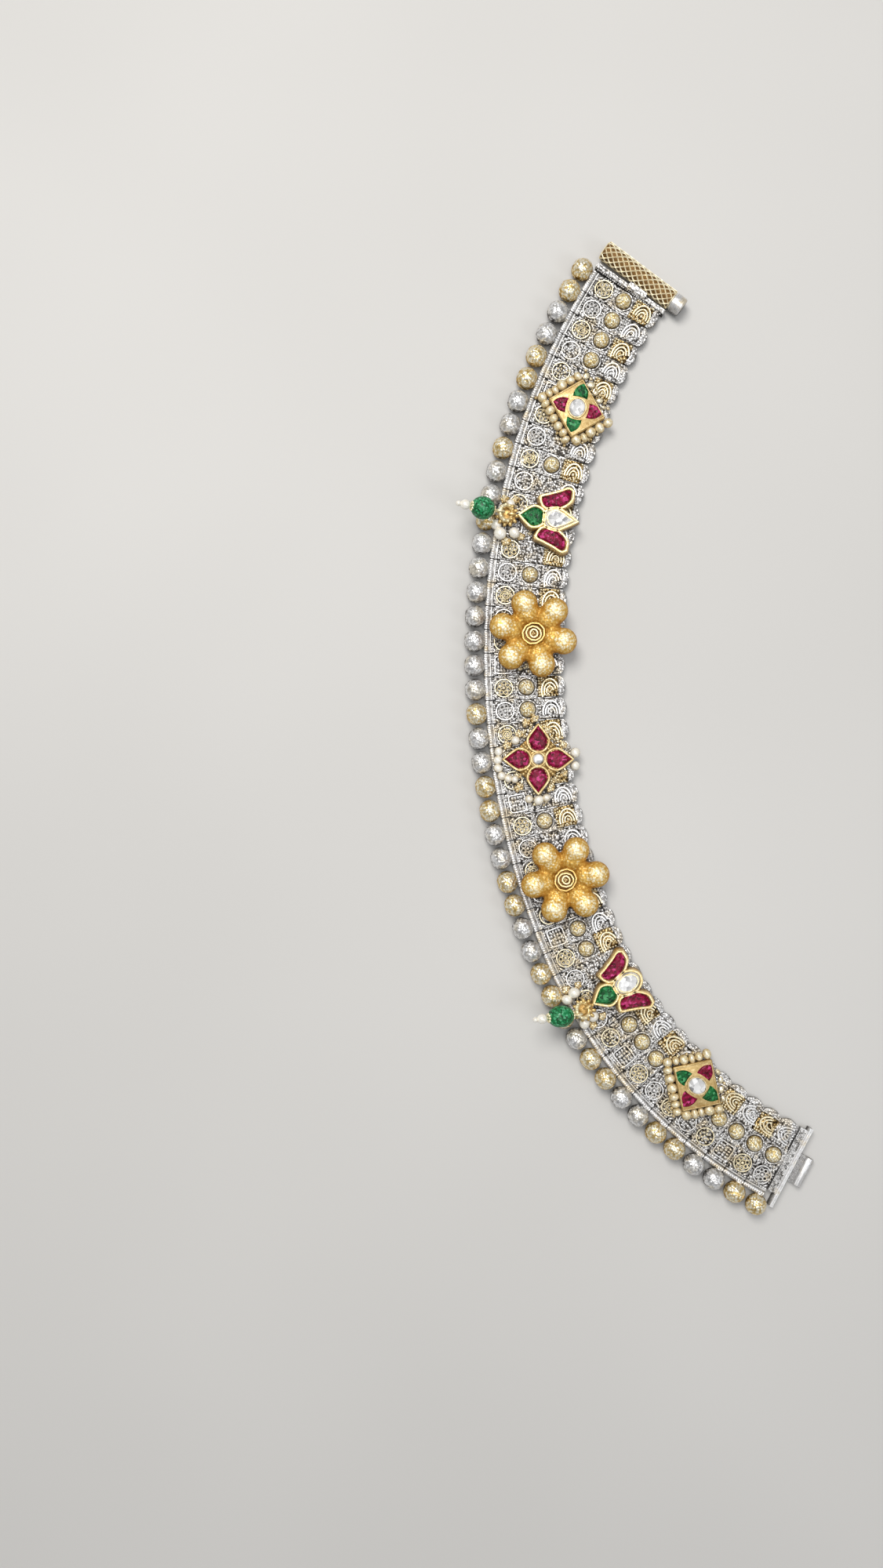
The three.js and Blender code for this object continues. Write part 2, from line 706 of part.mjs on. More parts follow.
const anklet = new THREE.Group();
addPiece(anklet, 'link_band', linkBand(), silver);
addPiece(anklet, 'bead_edge', beadEdge(), silver);

const makers = {
  square: [addSquare],
  lotus: [addLotus, addDrop],
  flower: [addFlower],
  star: [addStar],
};
for (const medallion of medallions) {
  const group = groupAt(medallionFrame(medallion));
  makers[medallionKind(medallion)].forEach((maker) => maker(group, medallion));
  anklet.add(group);
}

const claspGroup = groupAt(frameAt(0)
  .multiply(new THREE.Matrix4().makeTranslation(0, clasp.forward, 0))
  .multiply(new THREE.Matrix4().makeRotationZ(radians(clasp.turn))));
addClasp(claspGroup);
anklet.add(claspGroup);

const tongueGroup = groupAt(frameAt(rowsStart + rowCount * rowPitch));
addTongue(tongueGroup);
anklet.add(tongueGroup);

export default anklet;
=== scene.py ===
import math
import random

import bpy
from mathutils import Matrix, Vector


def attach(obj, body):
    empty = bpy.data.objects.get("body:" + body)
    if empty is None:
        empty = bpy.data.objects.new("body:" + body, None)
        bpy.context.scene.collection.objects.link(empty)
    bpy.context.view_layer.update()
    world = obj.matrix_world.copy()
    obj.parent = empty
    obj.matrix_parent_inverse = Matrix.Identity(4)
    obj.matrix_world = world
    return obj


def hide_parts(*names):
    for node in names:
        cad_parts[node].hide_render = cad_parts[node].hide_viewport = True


# Looks of a silver and gold payal anklet, unclasped and lying open on its back.
# Every piece is modelled in millimetres about its own place and set down in metres.
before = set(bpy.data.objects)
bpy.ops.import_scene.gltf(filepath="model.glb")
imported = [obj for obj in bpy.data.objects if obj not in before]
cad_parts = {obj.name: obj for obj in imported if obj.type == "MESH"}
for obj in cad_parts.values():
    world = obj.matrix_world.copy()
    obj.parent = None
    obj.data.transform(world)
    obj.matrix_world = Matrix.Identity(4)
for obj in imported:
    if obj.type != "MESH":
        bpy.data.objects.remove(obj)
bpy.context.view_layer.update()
mm = 0.001
inMetres = Matrix.Scale(mm, 4)
chance = random.Random(11)
print("frame loaded")


# The route of the band.
route = {
    "startX": -10.276,
    "startY": 120.008,
    "inward": -32.4,
    "arcs": [(93.6, 29.0), (91.4, 25.3), (93.9, 42.7)],
    "rows": 44,
    "pitch": 6.2,
    "rowsStart": 0.4,
    "rowGap": 0.35,
}


def routeAt(distance):
    x = route["startX"]
    y = route["startY"]
    inward = math.radians(route["inward"])
    left = distance
    bend = 0.0
    for number, (length, turn) in enumerate(route["arcs"]):
        isLast = number == len(route["arcs"]) - 1
        step = left if isLast else min(left, length)
        bend = math.radians(turn) / length
        after = inward + bend * step
        x += (math.cos(inward) - math.cos(after)) / bend
        y += (math.sin(inward) - math.sin(after)) / bend
        inward = after
        left -= step
        if left <= 0:
            break
    return x, y, inward, bend


# x runs across the band from its outer edge, y back towards the clasp
def frameAt(distance):
    x, y, inward = routeAt(distance)[:3]
    return Matrix.Translation((x * mm, y * mm, 0)) @ Matrix.Rotation(inward, 4, "Z")


def rowDistance(row):
    return route["rowsStart"] + (row - 0.5) * route["pitch"]


def shift(x, y, z):
    return Matrix.Translation((x * mm, y * mm, z * mm))


def turnZ(degrees):
    return Matrix.Rotation(math.radians(degrees), 4, "Z")


# Helpers for modelling.
def startFresh():
    if bpy.context.object and bpy.context.object.mode != "OBJECT":
        bpy.ops.object.mode_set(mode="OBJECT")
    bpy.ops.object.select_all(action="DESELECT")


def activate(piece):
    startFresh()
    piece.select_set(True)
    bpy.context.view_layer.objects.active = piece


def editAll(piece):
    activate(piece)
    bpy.ops.object.mode_set(mode="EDIT")
    bpy.ops.mesh.select_all(action="SELECT")


def pickFaces(piece, test):
    activate(piece)
    bpy.context.tool_settings.mesh_select_mode = (False, False, True)
    for vertex in piece.data.vertices:
        vertex.select = False
    for edge in piece.data.edges:
        edge.select = False
    for face in piece.data.polygons:
        face.select = test(face.center, face.normal)
    bpy.ops.object.mode_set(mode="EDIT")


def doneEditing():
    bpy.ops.object.mode_set(mode="OBJECT")


def withModifier(piece, kind, **settings):
    activate(piece)
    modifier = piece.modifiers.new(kind.lower(), kind)
    for key, value in settings.items():
        setattr(modifier, key, value)
    bpy.ops.object.modifier_apply(modifier=modifier.name)
    return piece


def softened(piece, width, steps):
    if width:
        withModifier(
            piece, "BEVEL", width=width, segments=steps, limit_method="ANGLE", angle_limit=math.radians(50),
        )
    return piece


def smooth(piece, degrees=40):
    activate(piece)
    bpy.ops.object.shade_smooth_by_angle(angle=math.radians(degrees))
    return piece


def copiesOf(model, places):
    twins = []
    for place in places:
        twin = model.copy()
        twin.data = model.data.copy()
        twin.data.transform(place)
        bpy.context.scene.collection.objects.link(twin)
        twins.append(twin)
    return twins


def joined(name, pieces):
    startFresh()
    for piece in pieces:
        piece.select_set(True)
    bpy.context.view_layer.objects.active = pieces[0]
    if len(pieces) > 1:
        bpy.ops.object.join()
    whole = bpy.context.object
    whole.name = name
    whole.data.name = name
    return whole


def dropModels(*models):
    for model in models:
        bpy.data.objects.remove(model, do_unlink=True)


def finished(piece, finish, body, slotName, *nodes):
    piece.data.materials.clear()
    piece.data.materials.append(finish)
    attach(piece, body)
    if nodes:
        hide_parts(*nodes)
    return piece


# sets a shape down at its place on the anklet and gives it its finish
def setDown(piece, place, finish, slotName, *nodes):
    piece.data.transform(place)
    return finished(piece, finish, "anklet", slotName, *nodes)


# a round grain of metal with a radius of one, cut off flat a little below its middle
def makeGrain():
    startFresh()
    bpy.ops.mesh.primitive_ico_sphere_add(subdivisions=2, radius=1.0, location=(0, 0, 0))
    grain = bpy.context.object
    editAll(grain)
    bpy.ops.mesh.bisect(plane_co=(0, 0, -0.25), plane_no=(0, 0, 1), clear_inner=True, use_fill=False)
    bpy.ops.mesh.faces_shade_smooth()
    doneEditing()
    return grain


grainModel = makeGrain()


# spots are rows of x, y, z and radius, or x, y, z and three radii
def grains(name, spots):
    places = []
    for spot in spots:
        radii = spot[3] if isinstance(spot[3], tuple) else (spot[3], spot[3], spot[3])
        size = Matrix.Diagonal((radii[0], radii[1], radii[2], 1))
        turn = turnZ(spot[4]) if len(spot) > 4 else Matrix.Identity(4)
        places.append(Matrix.Translation(spot[:3]) @ turn @ size)
    return joined(name, copiesOf(grainModel, places))


def wire(name, points, radius, isClosed=False, sides=1):
    startFresh()
    bpy.ops.curve.primitive_bezier_curve_add(location=(0, 0, 0))
    thread = bpy.context.object
    thread.name = name
    curve = thread.data
    curve.splines.clear()
    spline = curve.splines.new("POLY")
    spline.points.add(len(points) - 1)
    for spot, point in zip(spline.points, points):
        spot.co = (point[0], point[1], point[2], 1)
    spline.use_cyclic_u = isClosed
    spline.use_smooth = True
    curve.dimensions = "3D"
    curve.bevel_depth = radius
    curve.bevel_resolution = sides
    curve.use_fill_caps = not isClosed
    bpy.ops.object.convert(target="MESH")
    return bpy.context.object


def arcPoints(x, y, z, radius, fromAngle, toAngle, steps, squash=1.0):
    points = []
    for step in range(steps + 1):
        angle = math.radians(fromAngle + (toAngle - fromAngle) * step / steps)
        points.append((x + radius * math.cos(angle), y + radius * squash * math.sin(angle), z))
    return points


def ringPoints(x, y, z, radius, steps=18):
    return arcPoints(x, y, z, radius, 0, 360, steps)[:-1]


# even places round a circle, each with its two coordinates and its turn in degrees
def roundAbout(count, radius):
    angles = [2 * math.pi * number / count for number in range(count)]
    return [(radius * math.cos(angle), radius * math.sin(angle), math.degrees(angle)) for angle in angles]


def ovalPoints(length, width, margin=0.0, count=20):
    return [
        ((length / 2 + margin) * x, (width / 2 + margin) * y) for x, y, turn in roundAbout(count, 1.0)
    ]


def boxPoints(x0, x1, y0, y1):
    return [(x0, y0), (x1, y0), (x1, y1), (x0, y1)]


def rimOver(name, outline, height, radius):
    return wire(name, [(x, y, height) for x, y in outline], radius, True, 1)


# a flat face over an outline, made from a filled circle whose corners are moved onto it
def faceOver(name, outline, height):
    startFresh()
    bpy.ops.mesh.primitive_circle_add(vertices=len(outline), radius=1.0, fill_type="NGON", location=(0, 0, 0))
    plate = bpy.context.object
    plate.name = name
    for vertex, point in zip(plate.data.vertices, outline):
        vertex.co = (point[0], point[1], height)
    plate.data.update()
    editAll(plate)
    bpy.ops.mesh.normals_make_consistent(inside=False)
    doneEditing()
    if plate.data.polygons[0].normal.z < 0:
        editAll(plate)
        bpy.ops.mesh.flip_normals()
        doneEditing()
    return plate


def solidOver(name, outline, bottom, top, softEdge=0.0, softSteps=1):
    plate = faceOver(name, outline, bottom)
    editAll(plate)
    bpy.ops.mesh.extrude_region_move(TRANSFORM_OT_translate={"value": (0, 0, top - bottom)})
    bpy.ops.mesh.select_all(action="SELECT")
    bpy.ops.mesh.normals_make_consistent(inside=False)
    doneEditing()
    return softened(plate, softEdge, softSteps)


def roundBar(name, start, end, radius, sides=12, softEdge=0.0):
    direction = Vector(end) - Vector(start)
    startFresh()
    bpy.ops.mesh.primitive_cylinder_add(
        vertices=sides, radius=radius, depth=direction.length,
        location=(Vector(start) + Vector(end)) / 2,
        rotation=direction.to_track_quat("Z", "Y").to_euler(),
    )
    bpy.ops.object.transform_apply(location=True, rotation=True, scale=True)
    bar = bpy.context.object
    bar.name = name
    return softened(bar, softEdge, 2)


# a round body with its poles up and down, or along x when it lies on its side
def ballAt(spot, radii, segments, rings, turn=0.0, isLying=False):
    startFresh()
    bpy.ops.mesh.primitive_uv_sphere_add(
        segments=segments, ring_count=rings, radius=1.0, location=(0, 0, 0),
        rotation=(0, math.pi / 2 if isLying else 0, 0),
    )
    bpy.ops.object.transform_apply(location=True, rotation=True, scale=True)
    piece = bpy.context.object
    piece.data.transform(Matrix.Translation(spot) @ turnZ(turn) @ Matrix.Diagonal((*radii, 1)))
    return piece


def pearlAt(name, spot, radii, turn=0.0, rings=8):
    pearl = ballAt(spot, radii, 14, rings, turn)
    pearl.name = name
    bpy.ops.object.shade_smooth()
    return pearl


# The finishes.
def newFinish(name):
    finish = bpy.data.materials.new(name)
    finish.use_nodes = True
    tree = finish.node_tree
    shader = tree.nodes["Principled BSDF"]
    place = tree.nodes.new("ShaderNodeTexCoord")
    return finish, tree, shader, place.outputs["Object"]


def noiseOf(tree, place, scale, detail=3.0, roughness=0.6):
    noise = tree.nodes.new("ShaderNodeTexNoise")
    noise.inputs["Scale"].default_value = scale
    noise.inputs["Detail"].default_value = detail
    noise.inputs["Roughness"].default_value = roughness
    tree.links.new(place, noise.inputs["Vector"])
    return noise.outputs["Fac"]


def cellsOf(tree, place, scale):
    cells = tree.nodes.new("ShaderNodeTexVoronoi")
    cells.inputs["Scale"].default_value = scale
    tree.links.new(place, cells.inputs["Vector"])
    return cells


def addBump(tree, shader, height, strength, depth):
    bump = tree.nodes.new("ShaderNodeBump")
    bump.inputs["Strength"].default_value = strength
    bump.inputs["Distance"].default_value = depth * mm
    tree.links.new(height, bump.inputs["Height"])
    tree.links.new(bump.outputs["Normal"], shader.inputs["Normal"])


def rampOf(tree, factor, stops):
    ramp = tree.nodes.new("ShaderNodeValToRGB")
    elements = ramp.color_ramp.elements
    while len(elements) < len(stops):
        elements.new(0.5)
    for element, (position, colour) in zip(elements, stops):
        element.position = position
        element.color = (*colour, 1.0)
    tree.links.new(factor, ramp.inputs["Fac"])
    return ramp.outputs["Color"]


def spread(tree, value, fromLow, fromHigh, toLow, toHigh):
    node = tree.nodes.new("ShaderNodeMapRange")
    node.inputs["From Min"].default_value = fromLow
    node.inputs["From Max"].default_value = fromHigh
    node.inputs["To Min"].default_value = toLow
    node.inputs["To Max"].default_value = toHigh
    tree.links.new(value, node.inputs["Value"])
    return node.outputs["Result"]


def worked(tree, operation, first, second):
    node = tree.nodes.new("ShaderNodeMath")
    node.operation = operation
    node.use_clamp = operation == "ADD"
    tree.links.new(first, node.inputs[0])
    if isinstance(second, float):
        node.inputs[1].default_value = second
    else:
        tree.links.new(second, node.inputs[1])
    return node.outputs["Value"]


# metal that is dark low down and bright on its tops: painted shade low down, partly real tarnish in the low
# places, and a painted highlight on the tops
def metalFinish(name, look):
    finish, tree, shader, place = newFinish(name)
    parts = tree.nodes.new("ShaderNodeSeparateXYZ")
    tree.links.new(place, parts.inputs["Vector"])
    darkZ, brightZ = look["heights"]
    # painted shade and highlight by height: dark at the first height, bright at the second
    paintedLightAndTarnish = spread(tree, parts.outputs["Z"], darkZ * mm, brightZ * mm, 0.0, 1.0)
    mottle = noiseOf(tree, place, look["mottle"], 4.0, 0.7)
    wear = spread(tree, mottle, 0.3, 0.7, *look["wear"])
    tone = worked(tree, "ADD", paintedLightAndTarnish, wear)
    relief = noiseOf(tree, place, look["bumpScale"], 2.0, 0.6)
    if "grain" in look:  # small round grains with dark gaps between them
        # the dark gaps are painted shade between the grains, partly tarnish on the silver
        scale, gapTone, topTone = look["grain"]
        cells = cellsOf(tree, place, scale)
        gaps = spread(tree, cells.outputs["Distance"], 0.2, 0.75, topTone, gapTone)
        tone = worked(tree, "ADD", tone, gaps)
        relief = spread(tree, cells.outputs["Distance"], 0.0, 0.8, 1.0, 0.0)
    colour = rampOf(tree, tone, look["stops"])
    if "blush" in look:  # patches where the gilding or the tarnish shows
        patches = noiseOf(tree, place, look["blushScale"], 3.0, 0.6)
        amount = spread(tree, patches, 0.5, 0.64, 0.0, look["blushMost"])
        mix = tree.nodes.new("ShaderNodeMix")
        mix.data_type = "RGBA"
        mix.blend_type = "MULTIPLY"
        tree.links.new(amount, mix.inputs["Factor"])
        tree.links.new(colour, mix.inputs["A"])
        mix.inputs["B"].default_value = (*look["blush"], 1.0)
        colour = mix.outputs["Result"]
    tree.links.new(colour, shader.inputs["Base Color"])
    gloss = noiseOf(tree, place, look["mottle"] * 1.7, 2.0, 0.5)
    rough = spread(tree, gloss, 0.3, 0.7, *look["rough"])
    tree.links.new(rough, shader.inputs["Roughness"])
    shader.inputs["Metallic"].default_value = look["metallic"]
    addBump(tree, shader, relief, look["bump"], look["bumpDepth"])
    return finish


silverStops = [
    (0.0, (0.018, 0.015, 0.012)), (0.28, (0.12, 0.11, 0.10)),
    (0.55, (0.56, 0.55, 0.54)), (1.0, (0.96, 0.96, 0.96)),
]
goldStops = [
    (0.0, (0.024, 0.014, 0.006)), (0.3, (0.20, 0.115, 0.03)),
    (0.6, (0.66, 0.47, 0.19)), (1.0, (0.97, 0.89, 0.66)),
]
# heights are where the painted shade and the painted highlight lie, dark low and bright high, grain has a
# scale and the tones of gaps and tops
silverLook = {
    "heights": (1.4, 2.6), "mottle": 900.0, "wear": (-0.28, 0.2),
    "stops": silverStops, "blush": (0.95, 0.78, 0.48), "blushScale": 260.0, "blushMost": 0.6,
    "rough": (0.28, 0.48), "metallic": 0.72,
    "bump": 0.5, "bumpDepth": 0.12, "bumpScale": 2600.0,
}
goldLook = {
    "heights": (1.6, 2.6), "mottle": 800.0, "wear": (-0.25, 0.2),
    "stops": goldStops,
    "rough": (0.28, 0.48), "metallic": 0.75,
    "bump": 0.5, "bumpDepth": 0.12, "bumpScale": 2600.0,
}
plainSilver = metalFinish("brightSilver", silverLook)
groundSilver = metalFinish("granulatedSilver", {
    **silverLook, "heights": (0.4, 2.4), "grain": (1500.0, -0.75, 0.1),
    "bump": 0.8, "bumpDepth": 0.25,
})
reliefGold = metalFinish("reliefGold", goldLook)
blockGold = metalFinish("granulatedGold", {
    **goldLook, "heights": (0.5, 2.7), "grain": (1500.0, -0.7, 0.12),
    "bump": 0.8, "bumpDepth": 0.25,
})
# dark disc round each ball: painted shade in the hollow
hollowShadeFinish = metalFinish("paintedHollowShade", {
    **silverLook, "heights": (1.3, 4.4), "wear": (-0.2, 0.15),
    "rough": (0.5, 0.7),
})
# beads and balls are dark low on their rims as painted shade and bright on top as a painted highlight
beadSilver = metalFinish("hammeredSilver", {
    **silverLook, "heights": (1.5, 4.5), "mottle": 900.0, "wear": (-0.2, 0.2),
    "grain": (1500.0, -0.42, 0.18),
    "blush": (0.97, 0.85, 0.60), "blushMost": 0.5,
    "rough": (0.25, 0.45), "bump": 0.7, "bumpDepth": 0.22,
})
beadGold = metalFinish("hammeredGold", {
    **goldLook, "heights": (0.9, 4.5), "mottle": 900.0, "wear": (-0.2, 0.2),
    "grain": (1500.0, -0.4, 0.18),
    "stops": [
        (0.0, (0.06, 0.028, 0.006)), (0.3, (0.30, 0.17, 0.035)),
        (0.6, (0.72, 0.52, 0.20)), (1.0, (1.0, 0.95, 0.78)),
    ],
    "rough": (0.25, 0.45), "bump": 0.7, "bumpDepth": 0.22,
})
ballGold = metalFinish("ballGold", {
    **goldLook, "heights": (0.0, 3.6), "mottle": 1100.0, "wear": (-0.22, 0.22),
    "stops": [
        (0.0, (0.12, 0.06, 0.014)), (0.35, (0.44, 0.28, 0.08)),
        (0.65, (0.82, 0.65, 0.31)), (1.0, (1.0, 0.95, 0.78)),
    ],
    "metallic": 0.5,
    "grain": (1700.0, -0.45, 0.2), "bump": 1.0, "bumpDepth": 0.28,
})
silverUpper = metalFinish("silverUpper", {**silverLook, "heights": (-0.6, 2.2)})
satinSilver = metalFinish("satinSilver", {
    **silverLook, "heights": (0.7, 2.7), "mottle": 1300.0, "wear": (-0.22, 0.14),
    "grain": (1700.0, -0.4, 0.1), "blushMost": 0.45, "bump": 0.8, "bumpDepth": 0.2,
})
satinGold = metalFinish("satinGold", {
    **goldLook, "heights": (3.3, 5.6), "mottle": 1100.0, "wear": (-0.24, 0.16),
    "stops": [
        (0.0, (0.11, 0.045, 0.007)), (0.4, (0.30, 0.16, 0.03)),
        (0.75, (0.58, 0.42, 0.18)), (1.0, (0.90, 0.77, 0.48)),
    ],
    "rough": (0.36, 0.55), "metallic": 0.55, "bump": 0.3,
})
lotusGold = metalFinish("lotusGold", {
    **goldLook, "heights": (3.4, 7.0), "mottle": 1100.0, "wear": (-0.2, 0.16),
    "stops": [
        (0.0, (0.16, 0.075, 0.014)), (0.45, (0.5, 0.3, 0.085)),
        (0.8, (0.84, 0.65, 0.3)), (1.0, (0.97, 0.89, 0.62)),
    ],
    "rough": (0.3, 0.48), "metallic": 0.6,
})
flowerGold = metalFinish("flowerGold", {
    **goldLook, "heights": (4.0, 9.2), "mottle": 1500.0, "wear": (-0.2, 0.2),
    "grain": (1500.0, -0.16, 0.1),
    "stops": [
        (0.0, (0.24, 0.09, 0.008)), (0.45, (0.52, 0.25, 0.03)),
        (0.74, (0.76, 0.48, 0.11)), (0.95, (0.97, 0.89, 0.64)),
    ],
    "rough": (0.4, 0.6), "metallic": 0.45, "bump": 0.6, "bumpScale": 1700.0, "bumpDepth": 0.2,
})


# a cut stone: facets seen as patches of lighter and darker colour, painted reflections and painted shade in
# place of the light off real facets
def stoneFinish(name, look):
    finish, tree, shader, place = newFinish(name)
    cells = cellsOf(tree, place, look["facets"])
    parts = tree.nodes.new("ShaderNodeSeparateColor")
    tree.links.new(cells.outputs["Color"], parts.inputs["Color"])
    tree.links.new(rampOf(tree, parts.outputs["Red"], look["stops"]), shader.inputs["Base Color"])
    rough = spread(tree, parts.outputs["Green"], 0.0, 1.0, *look["rough"])
    tree.links.new(rough, shader.inputs["Roughness"])
    addBump(tree, shader, cells.outputs["Distance"], look["bump"], 0.15)
    shader.inputs["Coat Weight"].default_value = look["coat"]
    shader.inputs["Coat Roughness"].default_value = 0.05
    shader.inputs["IOR"].default_value = look["ior"]
    return finish


rubyFinish = stoneFinish("ruby", {
    "facets": 1700.0, "rough": (0.22, 0.55), "bump": 0.5, "coat": 0.06, "ior": 1.26,
    "stops": [
        (0.0, (0.06, 0.0005, 0.007)), (0.4, (0.17, 0.001, 0.022)),
        (0.75, (0.30, 0.004, 0.055)), (1.0, (0.62, 0.06, 0.24)),
    ],
})
emeraldFinish = stoneFinish("emerald", {
    "facets": 1700.0, "rough": (0.22, 0.55), "bump": 0.5, "coat": 0.06, "ior": 1.26,
    "stops": [
        (0.0, (0.001, 0.028, 0.008)), (0.45, (0.004, 0.10, 0.022)),
        (0.8, (0.015, 0.20, 0.055)), (1.0, (0.09, 0.36, 0.15)),
    ],
})
beadGreen = stoneFinish("emeraldBead", {
    "facets": 2100.0, "rough": (0.3, 0.6), "bump": 0.6, "coat": 0.1, "ior": 1.4,
    "stops": [
        (0.0, (0.001, 0.045, 0.012)), (0.35, (0.003, 0.13, 0.035)),
        (0.75, (0.012, 0.25, 0.085)), (1.0, (0.12, 0.46, 0.24)),
    ],
})
whiteFinish = stoneFinish("whiteStone", {
    "facets": 800.0, "rough": (0.1, 0.35), "bump": 0.5, "coat": 0.3, "ior": 1.6,
    "stops": [
        (0.0, (0.25, 0.25, 0.26)), (0.3, (0.55, 0.55, 0.55)),
        (0.7, (0.78, 0.78, 0.78)), (1.0, (0.90, 0.90, 0.90)),
    ],
})
# pearls are darker low down as painted shade and nearly white on top as a painted highlight
pearlFinish = metalFinish("pearl", {
    "heights": (1.9, 4.6), "mottle": 1300.0, "wear": (-0.18, 0.1),
    "stops": [
        (0.0, (0.16, 0.09, 0.03)), (0.45, (0.52, 0.40, 0.22)),
        (0.8, (0.82, 0.74, 0.58)), (1.0, (0.95, 0.93, 0.86)),
    ],
    "rough": (0.2, 0.35), "metallic": 0.15,
    "bump": 0.2, "bumpDepth": 0.08, "bumpScale": 1500.0,
})
seedPearl = metalFinish("seedPearl", {
    "heights": (2.0, 5.2), "mottle": 1500.0, "wear": (-0.3, 0.18),
    "stops": [
        (0.0, (0.10, 0.055, 0.014)), (0.4, (0.42, 0.27, 0.09)),
        (0.72, (0.78, 0.63, 0.35)), (1.0, (0.98, 0.94, 0.78)),
    ],
    "rough": (0.22, 0.4), "metallic": 0.35,
    "bump": 0.4, "bumpDepth": 0.12, "bumpScale": 1700.0,
})
# the boss is dark in the low gaps between its rings as painted shade and bright on the ring tops as a painted
# highlight
bossGold = metalFinish("bossGold", {
    **goldLook, "heights": (6.4, 7.6), "wear": (-0.15, 0.12),
    "stops": [
        (0.0, (0.16, 0.06, 0.006)), (0.4, (0.45, 0.22, 0.03)),
        (0.75, (0.80, 0.55, 0.18)), (1.0, (0.96, 0.86, 0.56)),
    ],
    "metallic": 0.5,
})
capGold = metalFinish("capGold", {**goldLook, "heights": (2.0, 3.7)})
# the knob is dark on its underside as painted shade and white on top as a painted highlight
knobSilver = metalFinish("knobSilver", {
    **silverLook, "heights": (0.3, 5.4), "mottle": 1300.0, "wear": (-0.25, 0.1),
})
plateSilver = metalFinish("plateSilver", {
    **silverLook, "heights": (0.9, 2.9), "mottle": 1100.0, "wear": (-0.2, 0.15),
    "grain": (1500.0, -0.5, 0.08), "bump": 0.7, "bumpDepth": 0.2,
})
ribSilver = metalFinish("ribSilver", {
    **silverLook, "heights": (0.2, 2.9), "mottle": 1500.0, "wear": (-0.2, 0.1),
    "blushMost": 0.35, "bump": 0.4, "bumpDepth": 0.1,
})
barrelGold = metalFinish("barrelGold", {
    **goldLook, "heights": (-7.0, 4.0), "wear": (-0.1, 0.08), "metallic": 0.55,
})
# the tube inside the lattice in darker gold: painted shade in the recess
recessShadeGold = metalFinish("barrelRecessShade", {
    **goldLook, "heights": (-6.0, 14.0), "wear": (-0.12, 0.08),
    "stops": [
        (0.0, (0.05, 0.022, 0.005)), (0.5, (0.17, 0.085, 0.018)),
        (0.8, (0.30, 0.16, 0.035)), (1.0, (0.42, 0.25, 0.07)),
    ],
    "rough": (0.55, 0.75), "metallic": 0.4,
})
print("finishes ready")


# Where the medallions sit.
medallions = {
    "square_top": {"row": 6.35, "across": 12.3, "turn": 6.0},
    "lotus_top": {"row": 11.55, "across": 9.2, "turn": 4.0},
    "flower_top": {"row": 16.7, "across": 12.3, "turn": -12.4},
    "star": {"row": 22.25, "across": 11.8, "turn": -8.0},
    "flower_bottom": {"row": 27.7, "across": 11.6, "turn": -7.8},
    "lotus_bottom": {"row": 33.2, "across": 9.7, "turn": 1.0},
    "square_bottom": {"row": 39.1, "across": 13.6, "turn": 10.0},
}
covers = {
    "square": [(0.0, 0.0, 8.1)],
    "lotus": [(-0.4, 0.0, 3.3), (5.4, 4.8, 4.0), (5.4, -4.8, 4.0), (8.0, 0.0, 3.8)],
    "flower": [(0.0, 0.0, 5.4)] + [
        (8.4 * math.cos(math.radians(60 * k)), 8.4 * math.sin(math.radians(60 * k)), 3.2) for k in range(6)
    ],
    "star": [(0.0, 0.0, 3.2), (5.6, 0.0, 3.4), (0.0, 5.6, 3.4), (-5.6, 0.0, 3.4), (0.0, -5.6, 3.4)],
}
footReach = 3.0
clearGap = 0.3


def medallionFrame(name):
    spot = medallions[name]
    return frameAt(rowDistance(spot["row"])) @ shift(spot["across"], 0, 0) @ turnZ(spot["turn"])


# the same rule as in the solids: relief that would meet a medallion is left out
def isCovered(row, across, radius, isTall):
    here = (frameAt(rowDistance(row)) @ Vector((across * mm, 0, 0))) / mm
    for name in medallions:
        place = medallionFrame(name)
        middle = place.translation / mm
        if (here - middle).length < footReach + radius + clearGap:
            return True
        for x, y, patch in covers[name.split("_")[0]]:
            centre = (place @ Vector((x * mm, y * mm, 0))) / mm
            clear = patch + radius + clearGap if isTall else patch
            if (here - centre).length < clear:
                return True
    return False


# The links and their hinges.
link = {"edge": 1.8, "shoulder": 17.6, "width": 20.9, "bottom": 1.0, "top": 2.0, "softEdge": 0.15}


def makeLinkPlate(bend):
    def half(across):
        return (route["pitch"] * (1 - bend * across) - route["rowGap"]) / 2

    outer = half(link["edge"])
    shoulder = half(link["shoulder"])
    lobe = []
    for step in range(9):
        angle = math.radians(-80 + 20 * step)
        lobe.append((link["width"] - 2.0 + 2.0 * math.cos(angle), shoulder * math.sin(angle)))
    outline = [(link["edge"], -outer), (link["shoulder"], -shoulder)] + lobe
    outline += [(link["shoulder"], shoulder), (link["edge"], outer)]
    return solidOver("linkPlate", outline, link["bottom"], link["top"], link["softEdge"])


def makeLinks():
    plates = {}
    copies = []
    for row in range(1, route["rows"] + 1):
        bend = routeAt(rowDistance(row))[3]
        key = round(bend, 5)
        if key not in plates:
            plates[key] = makeLinkPlate(bend)
        copies += copiesOf(plates[key], [frameAt(rowDistance(row)) @ inMetres])
    dropModels(*plates.values())
    whole = smooth(joined("linkPlates", copies), 30)
    finished(whole, groundSilver, "anklet", "silver", "link_band")


hinge = {"radius": 0.8, "height": 0.8, "ends": (2.4, 18.4), "knuckles": 5, "space": 0.15, "softEdge": 0.12}


